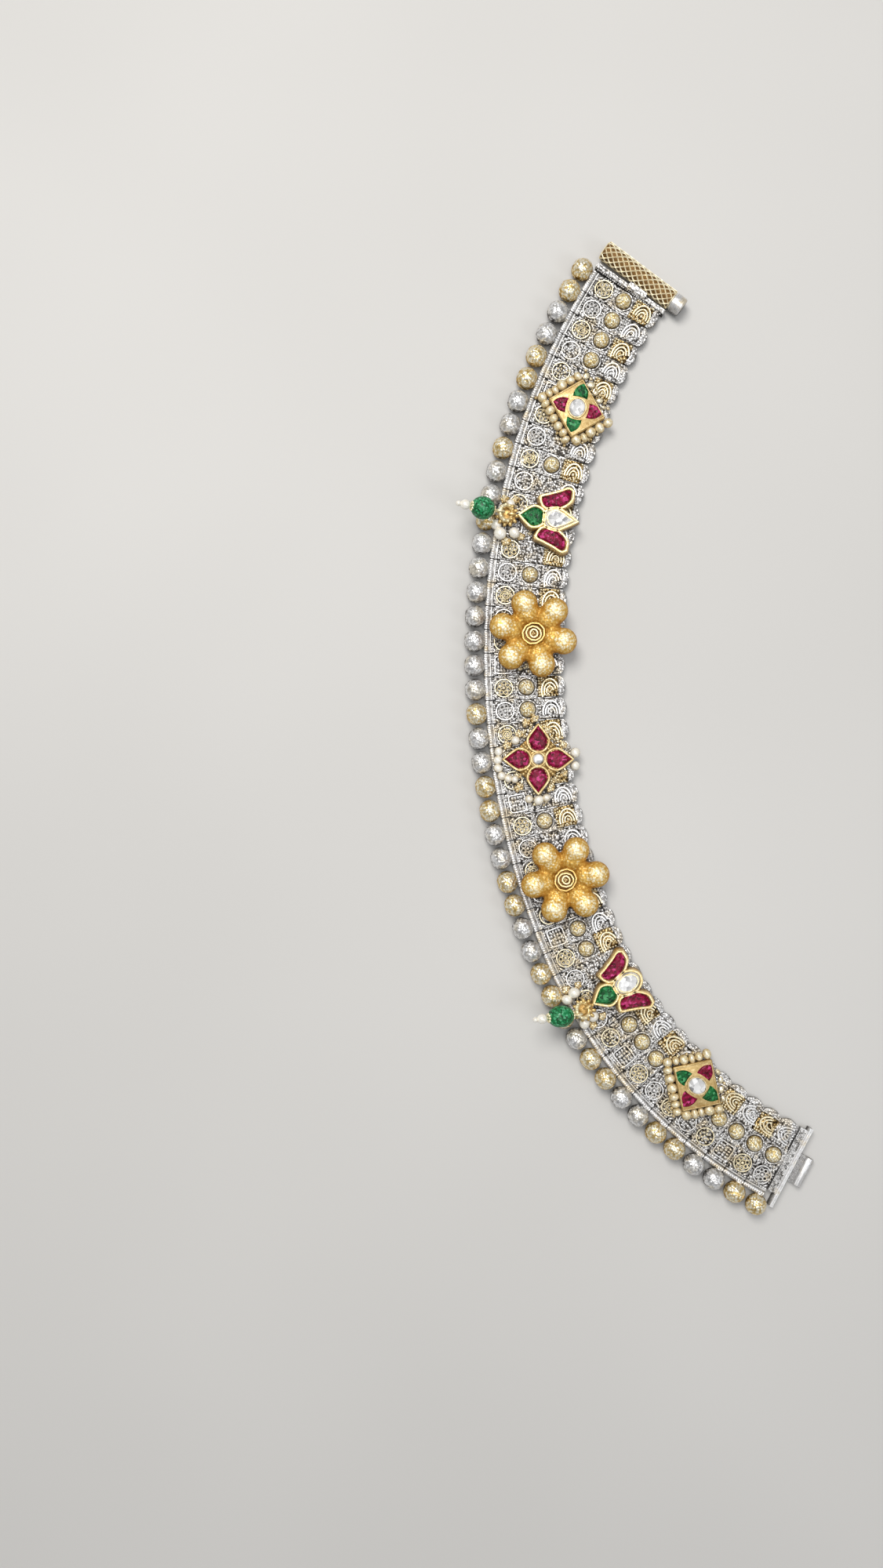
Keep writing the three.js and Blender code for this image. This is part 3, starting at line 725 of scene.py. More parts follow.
def makeHinges():
    start, end = hinge["ends"]
    length = (end - start) / hinge["knuckles"]
    knuckles = []
    for number in range(hinge["knuckles"]):
        low = start + number * length + hinge["space"] / 2
        high = low + length - hinge["space"]
        knuckles.append(roundBar(
            "knuckle", (low, 0, hinge["height"]), (high, 0, hinge["height"]), hinge["radius"], 10,
            hinge["softEdge"],
        ))
    unit = joined("knuckles", knuckles)
    places = [frameAt(rowDistance(row + 0.5)) @ inMetres for row in range(1, route["rows"])]
    whole = smooth(joined("hingeKnuckles", copiesOf(unit, places)), 40)
    dropModels(unit)
    finished(whole, silverUpper, "anklet", "silver", "link_band")


makeLinks()
makeHinges()
print("links and hinges made")


# The relief on the links.
rosette = {
    "across": 4.75, "ring": 2.3, "ringWire": 0.17, "ringZ": 2.6, "bed": 2.35, "bedTop": 1.98,
    "petals": 7, "petalAt": 1.25, "petal": 0.52, "petalWire": 0.15, "petalZ": 2.6,
}


# four patterns of wire and grains inside the same rim
def makeRosette(pattern):
    across = rosette["across"]
    high = rosette["petalZ"]
    parts = []
    spots = []
    if pattern == "grid":  # a rounded square frame with short bars in it
        frameLine = []
        for corner in range(4):
            for step in range(4):
                angle = math.radians(90 * corner + 30 * step)
                cornerX = 1.35 if corner in (0, 3) else -1.35
                cornerY = 1.5 if corner in (0, 1) else -1.5
                frameLine.append((
                    across + cornerX + 0.75 * math.cos(angle), cornerY + 0.75 * math.sin(angle),
                    rosette["ringZ"],
                ))
        parts.append(wire("frame", frameLine, rosette["ringWire"], True))
        for column in (-1.2, -0.4, 0.4, 1.2):
            for rowY in (-1.45, -0.5, 0.5, 1.45):
                spots.append((across + column, rowY, high - 0.15, (0.3, 0.44, 0.34), chance.uniform(-15, 15)))
    else:
        rim = ringPoints(across, 0, rosette["ringZ"], rosette["ring"], 22)
        parts.append(wire("ring", rim, rosette["ringWire"], True))
    if pattern == "petals":
        spots.append((across, 0, high - 0.1, 0.42))
        for x, y, turn in roundAbout(rosette["petals"], rosette["petalAt"]):
            loop = ringPoints(across + x, y, high, rosette["petal"], 9)
            parts.append(wire("petal", loop, rosette["petalWire"], True, 0))
    if pattern == "scrolls":
        for side in (20, 200):
            scroll = []
            for step in range(12):
                angle = math.radians(side + 40 * step)
                reach = 0.25 + 0.13 * step
                scroll.append((across + reach * math.cos(angle), reach * math.sin(angle), high))
            parts.append(wire("scroll", scroll, 0.17, False, 0))
        for x, y, turn in roundAbout(7, 1.7):
            spots.append((across + x, y, high - 0.15, (0.34, 0.24, 0.3), turn + chance.uniform(-30, 30)))
    if pattern == "pebbles":  # uneven grains, a few of them run together
        for number in range(13):
            angle = 2.4 * number + chance.uniform(-0.15, 0.15)
            away = 0.49 * math.sqrt(number + 0.3)
            size = chance.uniform(0.22, 0.34)
            spots.append((
                across + away * math.cos(angle), away * math.sin(angle), high - 0.15,
                (size * 1.25, size * 0.9, size), chance.uniform(0, 180),
            ))
    parts.append(roundBar("bed", (across, 0, 1.8), (across, 0, rosette["bedTop"]), rosette["bed"], 20))
    if spots:
        parts.append(grains("grains", spots))
    return joined("rosette", parts)


ball = {"across": 10.7, "radius": 2.0, "middle": 2.5, "cut": 1.9}


def makeBall():
    ballPiece = ballAt((ball["across"], 0, ball["middle"]), 3 * (ball["radius"],), 20, 12)
    editAll(ballPiece)
    bpy.ops.mesh.bisect(plane_co=(0, 0, ball["cut"]), plane_no=(0, 0, 1), clear_inner=True, use_fill=True)
    bpy.ops.mesh.select_all(action="SELECT")
    bpy.ops.mesh.normals_make_consistent(inside=False)
    doneEditing()
    return ballPiece


cup = {
    "hollow": (2.7, 2.3), "floor": 2.07, "strap": 0.36, "strapAt": 2.95, "wire": 0.18, "z": 2.25,
    "ring": 2.42, "ringWire": 0.2,
}


# a dark disc round a ball: painted shade in the hollow about it
def makeHollow():
    long, wide = cup["hollow"]
    rim = [(ball["across"] + x, y) for x, y in ovalPoints(2 * long, 2 * wide, 0.0, 18)]
    return solidOver("hollow", rim, 1.8, cup["floor"])


# a flat silver strap between two balls, with a curved edge on each side and grains at its ends
def makeCup():
    across = ball["across"]
    upper = []
    lower = []
    for step in range(9):
        x = -2.9 + 5.8 * step / 8
        sag = 0.42 * (x / 2.9) ** 2
        upper.append((across + x, -cup["strapAt"] + cup["strap"] + sag))
        lower.append((across + x, -cup["strapAt"] - cup["strap"] * 0.6 + 0.5 * sag))
    strap = solidOver("strap", lower + upper[::-1], 1.8, cup["z"], 0.12)
    edge = wire("strapEdge", [(x, y + 0.05, cup["z"] + 0.05) for x, y in upper], cup["wire"])
    ring = wire("cupRing", ringPoints(across, 0, cup["z"], cup["ring"], 22), cup["ringWire"], True)
    spots = []
    for side in (-1, 1):
        for x, y, size in ((2.6, 1.5, 0.32), (2.85, -0.9, 0.34), (2.35, 2.3, 0.26), (2.75, -1.7, 0.26)):
            spots.append((
                across + side * x + chance.uniform(-0.1, 0.1), y + chance.uniform(-0.1, 0.1), 2.25,
                (size, size * 1.3, size), side * chance.uniform(10, 50),
            ))
    return joined("cup", [strap, edge, ring, grains("cupGrains", spots)])


# grains in the place of a ball that a medallion leaves no room for
def makePatch(seed):
    local = random.Random(seed)
    spots = []
    for number in range(22):
        reach = 2.1 * math.sqrt(local.random())
        angle = local.uniform(0, 2 * math.pi)
        size = local.uniform(0.3, 0.5)
        spots.append((
            ball["across"] + reach * math.cos(angle), reach * math.sin(angle), 2.25,
            (size, size * local.uniform(0.8, 1.2), size * 1.2), local.uniform(0, 90),
        ))
    return grains("patch", spots)


arch = {
    "left": 13.55, "right": 18.9, "half": 2.72, "bottom": 1.6, "top": 2.2, "softEdge": 0.2,
    "bows": ((2.2, 0.27), (1.52, 0.24), (0.9, 0.2)), "middle": (16.75, -1.3), "squash": 1.45, "z": 2.58,
    "columns": (13.95, 14.65), "step": 0.74,
}


# a raised block: a bed of grains, and in its inner half bows of wire round a small leaf
def makeArch(isLeafy):
    left, right, half = arch["left"], arch["right"], arch["half"]
    outline = boxPoints(left, right, -half, half)
    bed = solidOver("block", outline, arch["bottom"], arch["top"], arch["softEdge"])
    parts = []
    x, y = arch["middle"]
    for radius, thick in arch["bows"]:
        start = 15 if isLeafy else -8
        bow = arcPoints(x, y, arch["z"], radius, start, 188 + (20 if isLeafy else 0), 12, arch["squash"])
        parts.append(wire("bow", bow, thick))
    spots = []
    for column in arch["columns"]:
        for step in range(-3, 4):
            spots.append((
                column + chance.uniform(-0.1, 0.1), step * arch["step"] + chance.uniform(-0.1, 0.1), 2.35,
                (0.34, 0.27, chance.uniform(0.28, 0.42)), chance.uniform(-35, 35),
            ))
    if isLeafy:
        for number in range(3):
            spots.append((x - 0.5 + 0.5 * number, y - 0.7 + 0.55 * number, 2.45, (0.55, 0.22, 0.36), 62))
        spots.append((left + 1.2, 2.2, 2.4, 0.3))
        spots.append((right - 0.5, 2.2, 2.4, 0.3))
    else:
        spots.append((x, y + 0.35, 2.5, (0.36, 0.5, 0.36)))
        spots.append((x - 0.5, y - 0.7, 2.45, 0.3))
        spots.append((x + 0.5, y - 0.75, 2.45, 0.3))
        spots.append((right - 0.45, 2.25, 2.4, (0.4, 0.26, 0.3), -35))
    for number in range(5):
        spots.append((left + 1.5 + 0.75 * number, -2.35 + chance.uniform(-0.1, 0.1), 2.35, 0.26))
    parts.append(grains("bricks", spots))
    return bed, joined("arch", parts)


field = {"columns": (1.95, 7.55, 8.1), "step": 0.66, "grain": 0.27, "z": 2.2}


# silver grains and small bars that fill the ground between the larger motifs
def makeField(seed):
    local = random.Random(seed)
    spots = []
    for column in field["columns"]:
        count = int(5.6 / field["step"])
        for number in range(count):
            y = -2.6 + number * field["step"] + local.uniform(-0.1, 0.1)
            size = field["grain"] * local.uniform(0.75, 1.25)
            spots.append((
                column + local.uniform(-0.12, 0.12), y, field["z"],
                (size, size * local.uniform(0.9, 1.5), size), local.uniform(-40, 40),
            ))
    for corner in ((2.6, 2.25), (6.9, 2.25), (2.6, -2.25), (6.9, -2.25)):
        turn = 45 if corner[0] * corner[1] > 0 else -45
        if corner[0] > 5:
            turn = -turn
        spots.append((corner[0], corner[1], 2.2, (0.7, 0.28, 0.4), turn + local.uniform(-15, 15)))
    for x in (3.6, 4.4, 5.2, 6.0):
        spots.append((x + local.uniform(-0.1, 0.1), 2.74, 2.15, 0.24))
        spots.append((x + local.uniform(-0.1, 0.1), -2.74, 2.15, 0.24))
    return grains("field", spots)


lobe = {"inner": 19.0, "outer": 20.8, "half": 2.6, "bottom": 1.2, "top": 2.35, "softEdge": 0.3}


# the scalloped inner edge: a smooth border with a bow of low grains pressed into it
def makeLobe():
    outer = []
    inner = []
    for step in range(11):
        angle = math.radians(-82 + 16.4 * step)
        outer.append((lobe["outer"] - 1.5 + 1.5 * math.cos(angle), lobe["half"] * math.sin(angle)))
        inner.append((lobe["inner"] - 0.3 + 0.4 * math.cos(angle), lobe["half"] * math.sin(angle)))
    rim = solidOver("lobe", outer + inner[::-1], lobe["bottom"], lobe["top"], lobe["softEdge"], 2)
    spots = []
    for step in range(8):
        angle = math.radians(-66 + 132 * step / 7)
        size = 0.27 * chance.uniform(0.85, 1.2)
        spots.append((
            lobe["outer"] - 2.1 + 1.45 * math.cos(angle), lobe["half"] * 0.9 * math.sin(angle),
            lobe["top"] - 0.12, (size * 1.2, size, size), 90 + math.degrees(angle),
        ))
    return joined("lobe", [rim, grains("lobeGrains", spots)])


def makeRelief():
    rosettes = [makeRosette(pattern) for pattern in ("petals", "grid", "scrolls", "pebbles")]
    ballModel = makeBall()
    hollow = makeHollow()
    cups = [makeCup(), makeCup()]
    patches = [makePatch(seed) for seed in (21, 22, 23)]
    beds, arches = zip(makeArch(False), makeArch(True))
    fields = [makeField(seed) for seed in (3, 5, 8)]
    lobes = [makeLobe(), makeLobe()]
    finishes = {
        "goldRosettes": (reliefGold, "gold"), "silverRosettes": (plainSilver, "silver"),
        "goldBlocks": (blockGold, "gold"), "silverBlocks": (groundSilver, "silver"),
        "goldArches": (reliefGold, "gold"), "silverArches": (plainSilver, "silver"),
        "silverField": (plainSilver, "silver"), "straps": (satinSilver, "silver"),
        "hollows": (hollowShadeFinish, "silver"), "goldBalls": (ballGold, "gold"),
        "innerLobes": (satinSilver, "silver"),
    }
    piles = {name: [] for name in finishes}
    middle = shift(rosette["across"], 0, 0)
    for row in range(1, route["rows"] + 1):
        here = frameAt(rowDistance(row))
        place = [here @ inMetres]
        isGold = row % 2 == 1
        pattern = (0, 2, 3)[(row // 2) % 3] if isGold else (1, 0, 3)[(row // 2) % 3]
        twist = middle @ turnZ(0 if pattern == 1 else 37 * row) @ middle.inverted()
        turned = [here @ twist @ inMetres]
        piles["goldRosettes" if isGold else "silverRosettes"] += copiesOf(rosettes[pattern], turned)
        if isCovered(row, ball["across"], ball["radius"], True):
            pile = "goldRosettes" if row % 3 == 0 else "silverField"
            piles[pile] += copiesOf(patches[row % 3], place)
        else:
            piles["goldBalls"] += copiesOf(ballModel, place)
            piles["hollows"] += copiesOf(hollow, place)
            piles["straps"] += copiesOf(cups[row % 2], place)
        piles["goldBlocks" if isGold else "silverBlocks"] += copiesOf(beds[0], place)
        piles["goldArches" if isGold else "silverArches"] += copiesOf(arches[(row // 2) % 2], place)
        piles["silverField"] += copiesOf(fields[row % 3], place)
        piles["innerLobes"] += copiesOf(lobes[row % 2], place)
    for name, copies in piles.items():
        whole = smooth(joined(name, copies), 50)
        finish, slotName = finishes[name]
        finished(whole, finish, "anklet", slotName, "link_band")
        print(name, len(whole.data.polygons), "faces")
    dropModels(ballModel, hollow, *rosettes, *cups, *patches, *lobes, *beds, *arches, *fields)


makeRelief()
print("relief made")


# The rail and the edge beads.
rail = {"rungX": 0.35, "rungZ": 2.3, "rungStep": 0.62, "lineX": 1.45, "lineWire": 0.2, "lineZ": 2.3}
bead = {"count": 44, "radius": 2.8, "across": -2.75, "start": 2.2, "pitch": 6.28, "swell": 1.05}
goldBeads = {1, 2, 5, 6, 9, 12, 20, 23, 24, 27, 28, 31, 32, 33, 35, 36, 39, 40, 43, 44}


def makeRail():
    spots = [
        (rail["rungX"], -2.79 + number * rail["rungStep"], rail["rungZ"], (0.62, 0.27, 0.3))
        for number in range(10)
    ]
    bed = solidOver("bed", boxPoints(-0.3, 1.0, -2.95, 2.95), 1.0, 2.3, 0.15)
    foot = solidOver("foot", boxPoints(0.9, 1.75, -2.95, 2.95), 1.0, 1.9)
    points = [(rail["lineX"], -2.9 + 0.58 * step, rail["lineZ"]) for step in range(11)]
    unit = joined("railUnit", [
        bed, foot, wire("line", points, rail["lineWire"], False, 2), grains("rungs", spots),
    ])
    places = [frameAt(rowDistance(row)) @ inMetres for row in range(1, route["rows"] + 1)]
    whole = smooth(joined("edgeRail", copiesOf(unit, places)), 50)
    dropModels(unit)
    finished(whole, plainSilver, "anklet", "silver", "bead_edge")


def makeBeads():
    startFresh()
    bpy.ops.mesh.primitive_uv_sphere_add(
        segments=22, ring_count=14, radius=bead["radius"], location=(bead["across"], 0, bead["radius"]),
        rotation=(0, math.pi / 2, 0),
    )
    bpy.ops.object.transform_apply(location=True, rotation=True, scale=True)
    bpy.ops.object.shade_smooth()
    ballModel = bpy.context.object
    centre = Vector((bead["across"], 0, bead["radius"]))
    for vertex in ballModel.data.vertices:  # dents of the hammer, and poles pressed flat round the pin
        away = vertex.co - centre
        pole = max(abs(away.x) / bead["radius"] - 0.93, 0.0)
        vertex.co = centre + away * (1.0 - 0.9 * pole - chance.uniform(0.0, 0.02))
    collar = joined("collar", [
        roundBar("neck", (-0.75, 0, 2.2), (0.0, 0, 2.0), 0.85, 12, 0.1),
        wire("collarRing", [(-0.55, y, 2.1 + 0.9 * z) for y, z, turn in roundAbout(12, 1.0)], 0.24, True),
    ])
    piles = {"goldEdgeBeads": [], "silverEdgeBeads": [], "beadCollars": []}
    for number in range(1, bead["count"] + 1):
        swell = bead["swell"] if number < bead["count"] else 1.0  # the last bead is at the end of the box
        stretch = Matrix.Diagonal((1.0, swell, 1.0, 1.0))
        place = [frameAt(bead["start"] + (number - 1) * bead["pitch"]) @ inMetres @ stretch]
        pile = "goldEdgeBeads" if number in goldBeads else "silverEdgeBeads"
        piles[pile] += copiesOf(ballModel, place)
        piles["beadCollars"] += copiesOf(collar, place)
    dropModels(ballModel, collar)
    finished(joined("goldEdgeBeads", piles["goldEdgeBeads"]), beadGold, "anklet", "gold", "bead_edge")
    finished(joined("silverEdgeBeads", piles["silverEdgeBeads"]), beadSilver, "anklet", "silver", "bead_edge")
    collars = smooth(joined("beadCollars", piles["beadCollars"]), 50)
    finished(collars, plainSilver, "anklet", "silver", "bead_edge")


makeRail()
makeBeads()
print("rail and beads made")


# The outlines of the stones.
def dropPoints(length, width, margin=0.0):
    radius = width / 2 + margin
    centre = -length / 2 + width / 2
    points = [(length / 2 + margin, 0.0)]
    for degrees in (62, 98, 139, 180, 221, 262, 298):
        angle = math.radians(degrees)
        points.append((centre + radius * math.cos(angle), radius * math.sin(angle)))
    return points


def petalPoints(length, width, bend, margin=0.0):
    stations = ((0.40, 0.70), (0.12, 1.0), (-0.22, 1.0), (-0.49, 0.56))
    points = [(length / 2 + 1.3 * margin, 0.9 * bend)]
    for side in (1, -1):
        order = stations if side == 1 else stations[::-1]
        for along, half in order:
            middle = bend * (4 * along * along - 0.4)
            points.append((along * (length + 2 * margin), middle + side * (half * width / 2 + margin)))
    return points


# a smooth line through all the points that stays sharp at the first one, the tip
def smoothed(points, steps=4):
    line = points + [points[0]]
    out = []
    for number in range(len(line) - 1):
        before = Vector(line[max(number - 1, 0)])
        start = Vector(line[number])
        end = Vector(line[number + 1])
        after = Vector(line[min(number + 2, len(line) - 1)])
        for step in range(steps):
            t = step / steps
            spot = 0.5 * (
                2 * start + (end - before) * t + (2 * before - 5 * start + 4 * end - after) * t * t
                + (3 * start - before - 3 * end + after) * t * t * t
            )
            out.append((spot.x, spot.y))
    return out


def placedPoints(points, x, y, turn):
    angle = math.radians(turn)
    return [
        (x + px * math.cos(angle) - py * math.sin(angle), y + px * math.sin(angle) + py * math.cos(angle))
        for px, py in points
    ]


# leaf stone of the squares: a triangle with two swelling sides and a hollow base
def leafPoints(tip, corner, swell, hollow):
    def sweep(start, control, end, steps):
        points = []
        for step in range(steps):
            t = step / steps
            points.append(tuple(
                (1 - t) ** 2 * start[k] + 2 * t * (1 - t) * control[k] + t * t * end[k] for k in (0, 1)
            ))
        return points

    low = (corner[0], -corner[1])
    return (
        sweep((tip, 0.0), swell, corner, 6) + sweep(corner, (hollow, 0.0), low, 5)
        + sweep(low, (swell[0], -swell[1]), (tip, 0.0), 6)
    )


# crown of a stone: a straight girdle, then two rings of facets up to the table
def makeStone(name, outline, back, girdle, table, place, finish, slotName, *nodes):
    stone = solidOver(name, outline, back, girdle)
    pickFaces(stone, lambda centre, normal: normal.z > 0.9 and centre.z > girdle - 0.01)
    rise = table - girdle
    bpy.ops.mesh.extrude_region_move(TRANSFORM_OT_translate={"value": (0, 0, rise * 0.62)})
    bpy.ops.transform.resize(value=(0.89, 0.89, 1))
    bpy.ops.mesh.extrude_region_move(TRANSFORM_OT_translate={"value": (0, 0, rise * 0.38)})
    bpy.ops.transform.resize(value=(0.8, 0.8, 1))
    bpy.ops.mesh.poke()
    doneEditing()
    return setDown(stone, place, finish, slotName, *nodes)


def cellOver(name, outline, bottom, top, rim, floor, flare=1.0):
    cell = solidOver(name, outline, bottom, top)
    pickFaces(cell, lambda centre, normal: normal.z < -0.9)
    bpy.ops.transform.resize(value=(flare, flare, 1))
    doneEditing()
    pickFaces(cell, lambda centre, normal: normal.z > 0.9)
    bpy.ops.mesh.inset(thickness=rim, depth=0)
    bpy.ops.mesh.extrude_region_move(TRANSFORM_OT_translate={"value": (0, 0, floor - top)})
    doneEditing()
    return cell


# The two square medallions.
square = {
    "long": 11.8, "short": 10.3, "bottom": 3.5, "top": 5.0, "rimZ": 5.05,
    "leafAt": 4.35, "leafTip": 2.15, "leafCorner": (-1.6, 1.9), "leafSwell": (1.0, 2.15), "leafHollow": -1.1,
    "middle": (4.0, 4.6), "back": 4.6, "girdle": 5.05, "table": 5.6,
}


def makeSquare(name, longTurn, openSide):
    place = medallionFrame(name) @ inMetres
    halfLong = square["long"] / 2
    halfShort = square["short"] / 2

    def cornersIn(inset):
        x, y = halfLong - inset, halfShort - inset
        return placedPoints(boxPoints(-x, x, -y, y), 0, 0, longTurn)

    long, wide = square["middle"]
    parts = [
        solidOver("plate", cornersIn(0.0), square["bottom"], square["top"], 0.35, 3),
        roundBar("foot", (0, 0, 2.3), (0, 0, 4.0), 2.6, 16),
        rimOver("rim", cornersIn(0.4), square["rimZ"], 0.2),
        rimOver("collar", ovalPoints(long, wide, 0.22, 24), square["rimZ"] + 0.16, 0.2),
    ]
    setDown(smooth(joined(name + "_plate", parts), 35), place, satinGold, "gold", name + "_setting")
    leaf = leafPoints(square["leafTip"], square["leafCorner"], square["leafSwell"], square["leafHollow"])
    stones = (
        ("ruby_1", 0, rubyFinish, "ruby"), ("emerald_1", 90, emeraldFinish, "emerald"),
        ("ruby_2", 180, rubyFinish, "ruby"), ("emerald_2", 270, emeraldFinish, "emerald"),
    )
    for stoneName, angle, finish, slotName in stones:
        outline = placedPoints([(square["leafAt"] + x, y) for x, y in leaf], 0, 0, angle)
        makeStone(
            name + "_" + stoneName + "_cut", outline, square["back"], square["girdle"], square["table"] - 0.2,
            place, finish, slotName, name + "_" + stoneName,
        )
    makeStone(
        name + "_white_cut", ovalPoints(long, wide), square["back"], square["girdle"] + 0.2, square["table"],
        place, whiteFinish, "white_stone", name + "_white_stone",
    )
    makeSeedPearls(name, place, longTurn, openSide)


def acrossBand(name, x, y):
    turn = math.radians(medallions[name]["turn"])
    return medallions[name]["across"] + x * math.cos(turn) - y * math.sin(turn)


# uneven seed pearls packed against three sides, and gold grains along the open one
def makeSeedPearls(name, place, longTurn, openSide):
    pearls = []
    caps = []
    for side in range(4):
        isLongSide = side % 2 == 0
        reach = (square["long"] if isLongSide else square["short"]) / 2 + 0.3
        away = (square["short"] if isLongSide else square["long"]) / 2 + 1.15
        turn = longTurn + 90 * side
        run = -reach
        while run < reach:
            half = chance.uniform(0.85, 1.45)
            run += half
            x, y = placedPoints([(run, -away - chance.uniform(-0.25, 0.3))], 0, 0, turn)[0]
            if side != openSide:
                pearls.append(pearlAt("pearl", (x, y, 3.75), (half, chance.uniform(1.2, 1.5), 1.25), turn))
            elif acrossBand(name, x, y) < 20.0:
                caps.append((x, y, 3.3, (half * 0.8, half * 0.6, 0.6), chance.uniform(0, 90)))
            x, y = placedPoints([(run + half, -away - 1.0)], 0, 0, turn)[0]
            if acrossBand(name, x, y) < 20.0:
                caps.append((x, y, 3.0, (0.5, 0.42, 0.5), chance.uniform(0, 90)))
            run += half * 0.9
    setDown(joined(name + "_seed_pearls", pearls), place, seedPearl, "pearl")
    setDown(grains(name + "_pearl_caps", caps), place, capGold, "gold")


makeSquare("square_top", -45, 2)
makeSquare("square_bottom", 45, 0)
print("squares made")


# The two lotuses and their drops.
lotus = {
    "bottom": 3.5, "top": 6.1, "wall": 0.75, "rimWire": 0.38, "rimAt": 0.42,
    "back": 5.4, "girdle": 6.15, "table": 6.8, "ringBed": (-6.8, -0.3, 5.2),
    "roundHeart": {"x": 6.3, "length": 6.9, "width": 5.1},
    "base": {"x": -0.4, "turn": 180, "length": 6.0, "width": 4.6},
    "heart": {"x": 6.9, "turn": 0, "length": 8.2, "width": 5.2},
    "petal": {"x": 5.7, "y": 5.2, "turn": 24, "length": 7.6, "width": 3.3, "bend": 0.9},
}


# the white stone of the lower lotus is an oval, the other one a drop
def lotusOutlines(name, margin):
    base = lotus["base"]
    heart = lotus["heart"]
    petal = lotus["petal"]
    small = dropPoints(base["length"], base["width"], margin)
    large = dropPoints(heart["length"], heart["width"], margin)
    outlines = {
        "emerald": placedPoints(small, base["x"], 0, base["turn"]),
        "white_stone": placedPoints(large, heart["x"], 0, 0),
    }
    for number, side in ((1, 1), (2, -1)):
        outlines["ruby_" + str(number)] = placedPoints(
            petalPoints(petal["length"], petal["width"], side * petal["bend"], margin),
            petal["x"], side * petal["y"], side * petal["turn"],
        )
    lines = {key: smoothed(points) for key, points in outlines.items()}
    if name == "lotus_bottom":
        oval = lotus["roundHeart"]
        lines["white_stone"] = placedPoints(
            ovalPoints(oval["length"], oval["width"], margin, 32), oval["x"], 0, 0,
        )
    return lines


# an upright eye of wire that the drop hangs from
def eyeAt(eyeX, eyeZ):
    ring = [(eyeX + x, 0, eyeZ + z) for x, z, turn in roundAbout(15, 1.05)]
    return wire("eye", ring, 0.3, True, 1)


def makeLotus(name):
    place = medallionFrame(name) @ inMetres
    walls = lotusOutlines(name, lotus["wall"])
    rims = lotusOutlines(name, lotus["rimAt"])
    stones = lotusOutlines(name, 0.0)
    parts = []
    floor = lotus["back"] - 0.2
    for key, outline in walls.items():
        parts.append(cellOver("wall", outline, lotus["bottom"], lotus["top"], 0.35, floor, 1.1))
        parts.append(rimOver("rim", rims[key], lotus["top"] + 0.05, lotus["rimWire"]))
    inner = [(x * 0.82 + 1.2, y * 0.8) for x, y in stones["white_stone"]]
    parts.append(rimOver("innerRim", inner, lotus["table"] - 0.12, 0.24))
    parts.append(roundBar("foot", (0.5, 0, 2.3), (0.5, 0, 4.0), 2.2, 16))
    bedX, bedY, bedTop = lotus["ringBed"]
    parts.append(roundBar("ringBed", (bedX, bedY, 2.3), (bedX, bedY, bedTop), 2.3, 20, 0.2))
    parts.append(grains("ringPetals", [
        (bedX + x, bedY + y, bedTop + 0.2, (0.72, 0.5, 0.5), turn) for x, y, turn in roundAbout(11, 2.45)
    ]))
    parts.append(eyeAt(drop["eyeX"], drop["eyeZ"]))
    setDown(smooth(joined(name + "_cells", parts), 40), place, lotusGold, "gold", name + "_setting")
    finishes = {
        "emerald": (emeraldFinish, "emerald"), "white_stone": (whiteFinish, "white_stone"),
        "ruby_1": (rubyFinish, "ruby"), "ruby_2": (rubyFinish, "ruby"),
    }
    for key, outline in stones.items():
        finish, slotName = finishes[key]
        makeStone(
            name + "_" + key + "_cut", outline, lotus["back"], lotus["girdle"], lotus["table"],
            place, finish, slotName, name + "_" + key,
        )


drop = {
    "ring": 1.9, "ringWire": 0.5, "tilt": 34.0, "eyeX": -5.6, "eyeZ": 5.3,
    "beadX": -13.3, "beadZ": 8.8, "pearl": 1.3,
}


def makeDrop(name, swing, beadLength, beadRadius):
    place = medallionFrame(name) @ inMetres
    tilt = math.radians(drop["tilt"])
    farX = drop["eyeX"] - 2 * drop["ring"] * math.cos(tilt)
    farZ = drop["eyeZ"] + 2 * drop["ring"] * math.sin(tilt)
    middle = ((drop["eyeX"] + farX) / 2, 0, (drop["eyeZ"] + farZ) / 2)
    lean = Matrix.Translation(middle) @ Matrix.Rotation(tilt, 4, "Y")
    hoop = wire("hoop", ringPoints(0, 0, 0, drop["ring"], 24), drop["ringWire"], True, 2)
    claws = [(x, y, 0.35, 0.42) for x, y, turn in roundAbout(10, drop["ring"] + 0.2)]
    ringPiece = smooth(joined(name + "_hoop", [hoop, grains("claws", claws)]), 50)
    setDown(ringPiece, place @ lean, lotusGold, "gold", name + "_drop_ring")
    slope = math.atan2(drop["beadZ"] - farZ, farX - drop["beadX"])
    beadAt = math.hypot(drop["beadZ"] - farZ, farX - drop["beadX"])
    aside = Matrix.Translation((farX, 0, farZ)) @ turnZ(swing)
    pinFrame = place @ aside @ Matrix.Rotation(math.pi, 4, "Z") @ Matrix.Rotation(-slope, 4, "Y")
    beadEnd = beadAt + beadLength / 2
    pearlX = beadEnd + 0.3 + drop["pearl"]
    pinEnd = pearlX + drop["pearl"] + 0.2
    pinParts = [eyeAt(0, 0), roundBar("pin", (1.05, 0, 0), (pinEnd + 0.1, 0, 0), 0.35, 10)]
    for capX in (beadAt - beadLength / 2 + 0.25, beadEnd - 0.25):
        for y, z, turn in roundAbout(8, 0.95):
            pinParts.append(pearlAt("capGrain", (capX, y, z), (0.4, 0.36, 0.36), 0, 5))
    pinPiece = smooth(joined(name + "_pin", pinParts), 50)
    setDown(pinPiece, pinFrame, lotusGold, "gold", name + "_drop_pin")
    green = ballAt((beadAt, 0, 0), (beadLength / 2, beadRadius, beadRadius), 18, 12, 0.0, True)
    green.name = name + "_green_bead"
    setDown(green, pinFrame, beadGreen, "emerald", name + "_drop_emerald")
    tip = joined(name + "_tip_pearl", [
        pearlAt("large", (pearlX, 0, 0), (1.4, 1.3, 1.3)),
        pearlAt("small", (pinEnd + 0.3, 0, 0), (0.75, 0.7, 0.7)),
    ])
    setDown(tip, pinFrame, pearlFinish, "pearl", name + "_drop_pearl")


